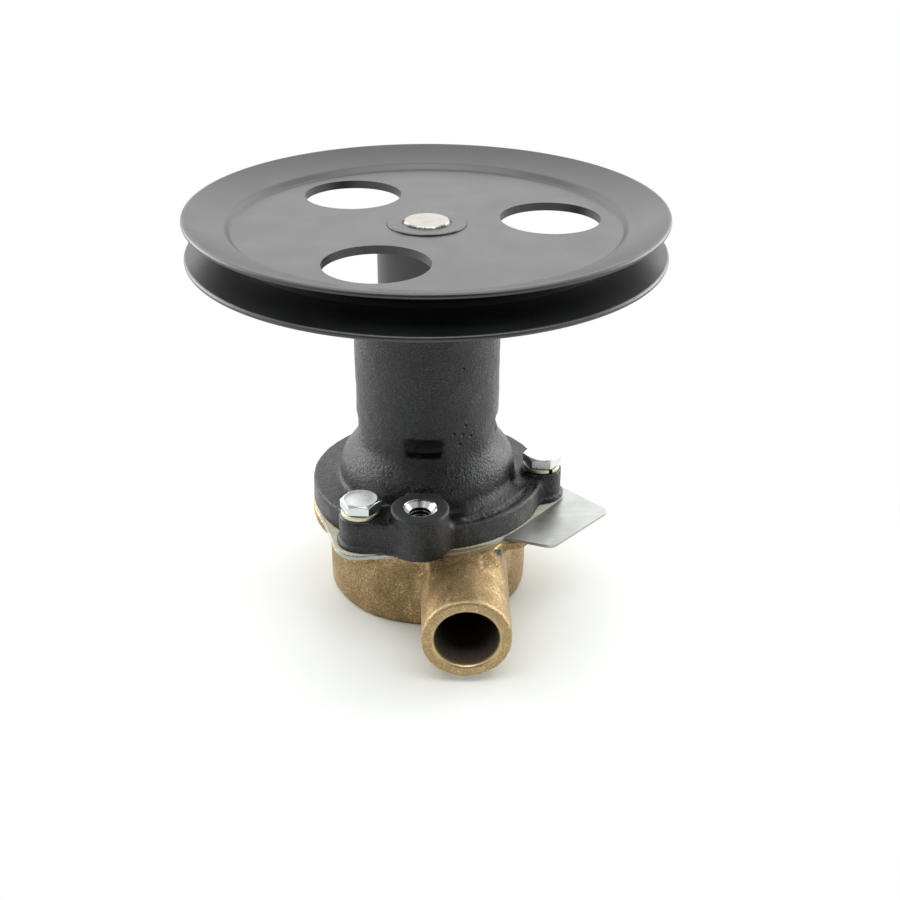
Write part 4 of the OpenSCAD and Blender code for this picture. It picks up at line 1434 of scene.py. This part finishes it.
@dataclass
class Shaft:
    """Turned shaft with chamfered ends, two ring grooves and a keyway."""

    low_r: float = 8.0
    high_r: float = 8.5
    foot: float = 7.8
    step_z: float = 61.9
    top: float = 146.1
    chamfer: float = 0.8
    low_groove: Place = (37.6, 38.6)
    high_groove: Place = (79.3, 80.3)
    groove_depth: float = 1.0
    keyway: Spot = (4.0, 4.0, 18.0)
    keyway_at: Spot = (8.0, 0.0, 20.8)

    def build(self) -> None:
        """Carries the stepped profile round the axis and cuts the keyway."""
        low, high = self.low_r, self.high_r
        steps = [(0.0, self.foot), (low - self.chamfer, self.foot), (low, self.foot + self.chamfer)]
        for radius, (start, end) in ((low, self.low_groove), (high, self.high_groove)):
            deep = radius - self.groove_depth
            steps += [(radius, start), (deep, start), (deep, end), (radius, end)]
            if radius == low:
                steps += [(low, self.step_z), (high, self.step_z)]
        steps += [(high, self.top - self.chamfer), (high - self.chamfer, self.top), (0.0, self.top)]
        piece = new_piece("pump_shaft_turned", lathe(np.array(steps), 160), SHAFT_STEEL, Shade.CRISP)
        mesh = bpy.data.meshes.new("slot_tool")
        work = bmesh.new()
        bmesh.ops.create_cube(work, size=1.0)
        bmesh.ops.scale(work, vec=tuple(c * MM for c in self.keyway), verts=work.verts)
        bmesh.ops.translate(work, vec=tuple(c * MM for c in self.keyway_at), verts=work.verts)
        work.to_mesh(mesh)
        work.free()
        cut_away(piece, link("slot_tool", mesh))
        stands_for(piece, Body.ROTOR, "pump_shaft")


@dataclass
class Fasteners:
    """Three hexagon bolts with crowned heads, and their split spring washers."""

    seat_z: float = 48.7
    washer_t: float = 2.0
    washer_r: float = 6.95
    washer_shift: Spot = (-0.25, 0.0, 0.0)
    washer_rise: float = 0.15
    bolt_r: float = 4.0
    length: float = 20.0
    flats: float = 13.0
    head: float = 4.1
    crown_r: float = 6.1
    head_turns: Spot = (-8.5, 2.0, -5.0)
    split_turn: float = -60.0
    split_half_deg: float = 7.0

    def bolt(self, turn: float) -> tuple[Array, Array]:
        """Shapes one bolt: rows from its tip over the shank, under and over the head to the crown.

        A row's radius is the hexagon's where the chamfer cone leaves it, and a circle elsewhere.

        Args:
            turn: Turn of the hexagon in degrees.

        Returns:
            Points round the bolt's own axis, from the head's seat at zero, and quads.
        """
        angle = turns_of(144)
        folded = (np.degrees(angle) - turn) % 60 - 30
        hexagon = self.flats / 2 / np.cos(np.radians(folded))
        cone = self.head - np.maximum(hexagon - self.crown_r, 0) * math.tan(math.radians(30))
        rows = [
            (0.0, -self.length),
            (self.bolt_r - 0.8, -self.length),
            (self.bolt_r, 0.8 - self.length),
            (self.bolt_r, 0.0),
            (6.0, 0.0),
            (6.2, 0.25),
            (hexagon, 0.4),
            (hexagon, cone),
            (self.crown_r, self.head),
            (self.crown_r - 0.7, self.head - 0.12),
            (self.crown_r - 2.2, self.head - 0.26),
            (0.0, self.head - 0.3),
        ]
        points = np.stack([revolved(r, angle, z) for r, z in rows])
        return points.reshape(-1, 3), grid_quads(len(rows), len(angle), False, True)

    def washer(self, turn: float) -> tuple[Array, Array]:
        """Shapes one washer: a rounded square section carried round a short, rising arc.

        Args:
            turn: Turn of the split in degrees.

        Returns:
            Points round the bolt's axis, from the washer's seat, and quads.
        """
        inner, outer, half = self.bolt_r + 0.35, self.washer_r, self.washer_t / 2
        face = half - self.washer_rise
        corners = [(inner, -face, 0.2), (outer, -face, 0.35), (outer, face, 0.35), (inner, face, 0.2)]
        section = rounded_path(corners, 4, closed=True)
        gap = math.radians(self.split_half_deg)
        angle = np.linspace(gap, 2 * np.pi - gap, 120)[:, None] + math.radians(turn)
        lift = np.linspace(-self.washer_rise, self.washer_rise, 120)[:, None]
        points = revolved(section[:, 0], angle, half + section[:, 1] + lift)
        ends = points[[0, -1]].mean(axis=1, keepdims=True).repeat(points.shape[1], axis=1)
        points = np.concatenate([ends[:1], points, ends[1:]])
        return points.reshape(-1, 3), grid_quads(points.shape[0], points.shape[1], False, True)

    def build(self) -> None:
        """Makes all bolts as one piece and all washers as another."""
        seats = [np.array([x, y, self.seat_z]) for x, y in BOLT_PLACES]
        heads = [self.bolt(turn) for turn in self.head_turns]
        bolts = [points + seat + np.array([0, 0, self.washer_t]) for (points, _), seat in zip(heads, seats)]
        piece = self.joined("flange_bolts_forged", bolts, heads[0][1], BRIGHT_ZINC)
        ease_edges(piece, 0.3, 3, 28.0)
        stands_for(piece, Body.ROOT, "flange_bolts")
        rings = [self.washer(turn + self.split_turn) for turn in BOLT_TURNS]
        washers = [points + seat + np.array(self.washer_shift) for (points, _), seat in zip(rings, seats)]
        piece = self.joined("spring_washers_coiled", washers, rings[0][1], PALE_ZINC)
        stands_for(piece, Body.ROOT, "spring_washers")

    def joined(self, name: str, parts: list[Array], quads: Array, finish: Finish) -> bpy.types.Object:
        """Joins copies into one piece.

        Args:
            name: Name of the piece.
            parts: Points of each copy.
            quads: Quads of one copy.
            finish: Finish of the piece.

        Returns:
            The piece.
        """
        faces = np.concatenate([quads + i * len(parts[0]) for i in range(len(parts))])
        return new_piece(name, (np.concatenate(parts), faces), finish, Shade.CRISP)


@dataclass
class FlatPieces:
    """Wear plate with eased edges, and the paper gaskets on both sides of it, which follow its outline."""

    edge_mm: float = 0.15
    plate_r: float = 44.0
    ear_reach: float = 45.2
    ear_r: Spot = (7.4, 9.1, 9.1)
    bolt_r: float = 4.05
    inset: float = 0.05
    turns: int = 720
    gaskets: tuple[tuple[str, str, float, float, float], ...] = (
        ("body_gasket_cut", "body_gasket", 34.8, 35.3, 32.0),
        ("housing_gasket_cut", "housing_gasket", 36.5, 37.0, 17.0),
    )

    def outline(self, angle: Array) -> Array:
        """Finds the radius of the plate's outline: a circle, and an ear at each bolt with the circle's tangents.

        Seen from the axis, an ear's tangent touches the circle at the angle whose cosine is the difference
        of the radii over the ear's reach. Between circle and ear the radius is that of a straight line.

        Args:
            angle: Angles in radians.

        Returns:
            One radius per angle.
        """
        radius = np.full_like(angle, self.plate_r)
        for turn, ear_r in zip(BOLT_TURNS, self.ear_r):
            touch = math.acos((self.plate_r - ear_r) / self.ear_reach)
            corner = math.atan2(ear_r * math.sin(touch), self.ear_reach + ear_r * math.cos(touch))
            aside = np.abs((angle - math.radians(turn) + math.pi) % (2 * math.pi) - math.pi)
            line = self.plate_r / np.cos(touch - np.minimum(aside, touch))
            inside = np.maximum(ear_r**2 - (self.ear_reach * np.sin(aside)) ** 2, 0)
            ear = self.ear_reach * np.cos(aside) + np.sqrt(inside)
            radius = np.maximum(radius, np.where(aside < corner, ear, np.where(aside < touch, line, 0)))
        return radius

    def gasket(self, name: str, node: str, low: float, high: float, inner: float) -> None:
        """Cuts one gasket: the outline's ring, carried from its lower to its upper face.

        Args:
            name: Name of the piece.
            node: The node that it stands for.
            low: Lower face.
            high: Upper face.
            inner: Radius of the opening.
        """
        angle = turns_of(self.turns)
        outer = self.outline(angle) - self.inset
        ring = [(inner, low), (outer, low), (outer, high), (inner, high)]
        points = np.stack([revolved(r, angle, z) for r, z in ring], axis=1)
        surface = points.reshape(-1, 3), grid_quads(self.turns, len(ring), True, True)
        piece = new_piece(name, surface, GASKET_PAPER, Shade.CRISP)
        for at in BOLT_PLACES:
            drill(piece, GASKET_PAPER, at, self.bolt_r, (low - 1, high + 1), 48)
        stands_for(piece, Body.ROOT, node)

    def build(self) -> None:
        """Cuts the gaskets, copies the plate's solid as one clean mesh, and rounds its edges."""
        for row in self.gaskets:
            self.gasket(*row)
        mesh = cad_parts["wear_plate"].data.copy()
        mesh.materials.clear()
        work = bmesh.new()
        work.from_mesh(mesh)
        bmesh.ops.remove_doubles(work, verts=work.verts, dist=1e-6)
        flat = math.radians(0.5)
        bmesh.ops.dissolve_limit(
            work, angle_limit=flat, verts=work.verts, edges=work.edges, use_dissolve_boundaries=False
        )
        work.to_mesh(mesh)
        work.free()
        piece = finish_piece(mesh, "wear_plate_sheet", STAINLESS, Shade.CRISP)
        ease_edges(piece, self.edge_mm)
        stands_for(piece, Body.ROOT, "wear_plate")


@dataclass
class KeptNodes:
    """CAD nodes whose shape is right as it is."""

    finishes: Mapping[str, Finish] = field(default_factory=lambda: NODE_FINISHES)

    def build(self) -> None:
        """Gives each node its finish."""
        for name, finish in self.finishes.items():
            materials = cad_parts[name].data.materials
            materials.clear()
            materials.append(finish.build())
            log.info("%s keeps its shape: %s", name, finish.name)


# ---- Camera and studio ----


def pose(right: Array, up: Array, ahead: Array, at: Array) -> Matrix:
    """Makes the matrix of a camera or lamp from its directions and place, in metres."""
    matrix = np.eye(4)
    matrix[:3] = np.column_stack([right, up, -ahead, at])
    return Matrix(matrix.tolist())


def seen_by(tree: bpy.types.NodeTree, *rays: str) -> Socket:
    """Adds a value that is 1 for rays of some kinds and 0 for the others.

    Args:
        tree: The node tree.
        rays: Outputs of the Light Path node.

    Returns:
        The value.
    """
    path = add_node(tree, "ShaderNodeLightPath").outputs
    seen = path[rays[0]]
    for ray in rays[1:]:
        seen = add_node(tree, "ShaderNodeMath", {"operation": "MAXIMUM", 0: seen, 1: path[ray]}).outputs["Value"]
    return seen


@dataclass(frozen=True)
class Lamp:
    """One soft rectangular lamp: place, aim and size in metres, power in watts."""

    name: str
    at: Spot
    aim: Spot
    size: Place
    watts: float

    def build(self) -> None:
        """Places the lamp, unseen by the camera."""
        data = bpy.data.lights.new(self.name, "AREA")
        data.shape = "RECTANGLE"
        data.size, data.size_y = self.size
        data.energy = self.watts
        lamp = link(self.name, data)
        ahead = np.array(self.aim) - np.array(self.at)
        ahead = ahead / np.linalg.norm(ahead)
        side = np.array([0.0, 1.0, 0.0]) if abs(ahead[2]) > 0.98 else np.array([0.0, 0.0, 1.0])
        right = np.cross(ahead, side)
        right = right / np.linalg.norm(right)
        lamp.matrix_world = pose(right, np.cross(right, ahead), ahead, np.array(self.at))
        lamp.visible_camera = False


@dataclass
class Studio:
    """Camera of the photograph, pale floor, bright surround, black card and soft lamps."""

    camera_at: Spot = (-0.9, -433.1, 285.75)
    pitch_deg: float = 28.08
    yaw_deg: float = 1.25
    roll_deg: float = 0.32
    lens: float = 51.10
    sensor: float = 36.0
    floor_half: float = 6.0
    floor_middle: Spot = (30.0, -20.0, 0.0)
    floor_fade: Place = (0.05, 0.2)
    card_y: float = -0.75
    card_half: float = 0.75
    card_top: float = 1.3
    lamps: tuple[Lamp, ...] = (
        Lamp("lamp_back", (0.0, 1.2, 1.1), (0.0, 0.0, 0.13), (2.6, 1.7), 15.0),
        Lamp("lamp_top", (0.0, -0.45, 1.45), (0.0, 0.0, 0.0), (1.8, 1.4), 22.0),
        Lamp("lamp_left", (-1.1, 0.55, 0.4), (0.0, 0.0, 0.08), (1.0, 0.8), 13.0),
        Lamp("lamp_right", (1.1, 0.6, 0.4), (0.0, 0.0, 0.08), (1.0, 0.8), 13.0),
    )

    def camera(self) -> None:
        """Places the camera from its pitch, yaw and roll."""
        pitch, yaw, roll = (math.radians(a) for a in (self.pitch_deg, self.yaw_deg, self.roll_deg))
        ahead = np.array([math.sin(yaw) * math.cos(pitch), math.cos(yaw) * math.cos(pitch), -math.sin(pitch)])
        right = np.array([math.cos(yaw), -math.sin(yaw), 0.0])
        up = np.cross(right, ahead)
        right, up = right * math.cos(roll) + up * math.sin(roll), up * math.cos(roll) - right * math.sin(roll)
        data = bpy.data.cameras.new("camera")
        data.lens = self.lens
        data.sensor_width = self.sensor
        data.clip_start = 0.01
        camera = link("camera", data)
        camera.matrix_world = pose(right, up, ahead, np.array(self.camera_at) * MM)
        bpy.context.scene.camera = camera

    def floor(self) -> None:
        """Lays the floor, which fades to the bright surround away from the pump."""
        h = self.floor_half
        mesh = bpy.data.meshes.new("floor")
        mesh.from_pydata([(-h, -h, 0), (h, -h, 0), (h, h, 0), (-h, h, 0)], [], [(0, 1, 2, 3)])
        material = plain_material("studio_floor_pale", "#e9ece9", 0.55)
        graph = Graph(material)
        near, far = self.floor_fade
        values = {"From Min": near, "From Max": far, "Value": graph.gap(self.floor_middle)}
        fade = graph.add("ShaderNodeMapRange", {"interpolation_type": "SMOOTHSTEP", **values})["Result"]
        share = graph.calc("MULTIPLY", seen_by(graph.tree, "Is Camera Ray", "Is Glossy Ray"), fade)
        glow = graph.add("ShaderNodeEmission", {"Color": (1.0, 1.0, 1.0, 1.0), "Strength": 1.0})["Emission"]
        mix = graph.add("ShaderNodeMixShader", {0: share, 1: graph.shader.outputs["BSDF"], 2: glow})["Shader"]
        graph.tree.links.new(mix, graph.tree.nodes["Material Output"].inputs["Surface"])
        mesh.materials.append(material)
        link("floor", mesh)

    def surround(self) -> None:
        """Makes the world white to the camera and in reflections, and softer as a light."""
        world = bpy.data.worlds.new("studio_surround")
        bpy.context.scene.world = world
        world.use_nodes = True
        tree = world.node_tree
        shade = tree.nodes["Background"]
        seen = seen_by(tree, "Is Camera Ray", "Is Glossy Ray", "Is Transmission Ray")
        strength = add_node(tree, "ShaderNodeMapRange", {"To Min": 0.7, "To Max": 1.0, "Value": seen})
        shade.inputs["Color"].default_value = (1.0, 1.0, 1.0, 1.0)
        tree.links.new(strength.outputs["Result"], shade.inputs["Strength"])

    def flag(self) -> None:
        """Stands a black card behind the camera, which keeps the near side of the pump dark."""
        y, half, top = self.card_y, self.card_half, self.card_top
        mesh = bpy.data.meshes.new("black_card")
        mesh.from_pydata([(-half, y, 0.0), (half, y, 0.0), (half, y, top), (-half, y, top)], [], [(0, 1, 2, 3)])
        mesh.materials.append(plain_material("black_card_felt", "#1c1c1c", 0.9))
        card = link("black_card", mesh)
        card.visible_camera = False

    def build(self) -> None:
        """Builds camera, floor, surround, card and lamps."""
        self.camera()
        self.floor()
        self.surround()
        self.flag()
        for lamp in self.lamps:
            lamp.build()
        bpy.context.scene.view_settings.view_transform = "Standard"


def main() -> None:
    """Builds every sub-assembly in order."""
    logging.basicConfig(level=logging.INFO, format="%(message)s")
    for part in (Studio(), BearingHousing(), PumpBody(), Pulley(), Shaft(), Fasteners(), FlatPieces(), KeptNodes()):
        part.build()
        log.info("%s built", type(part).__name__)


if __name__ == "__main__":
    main()
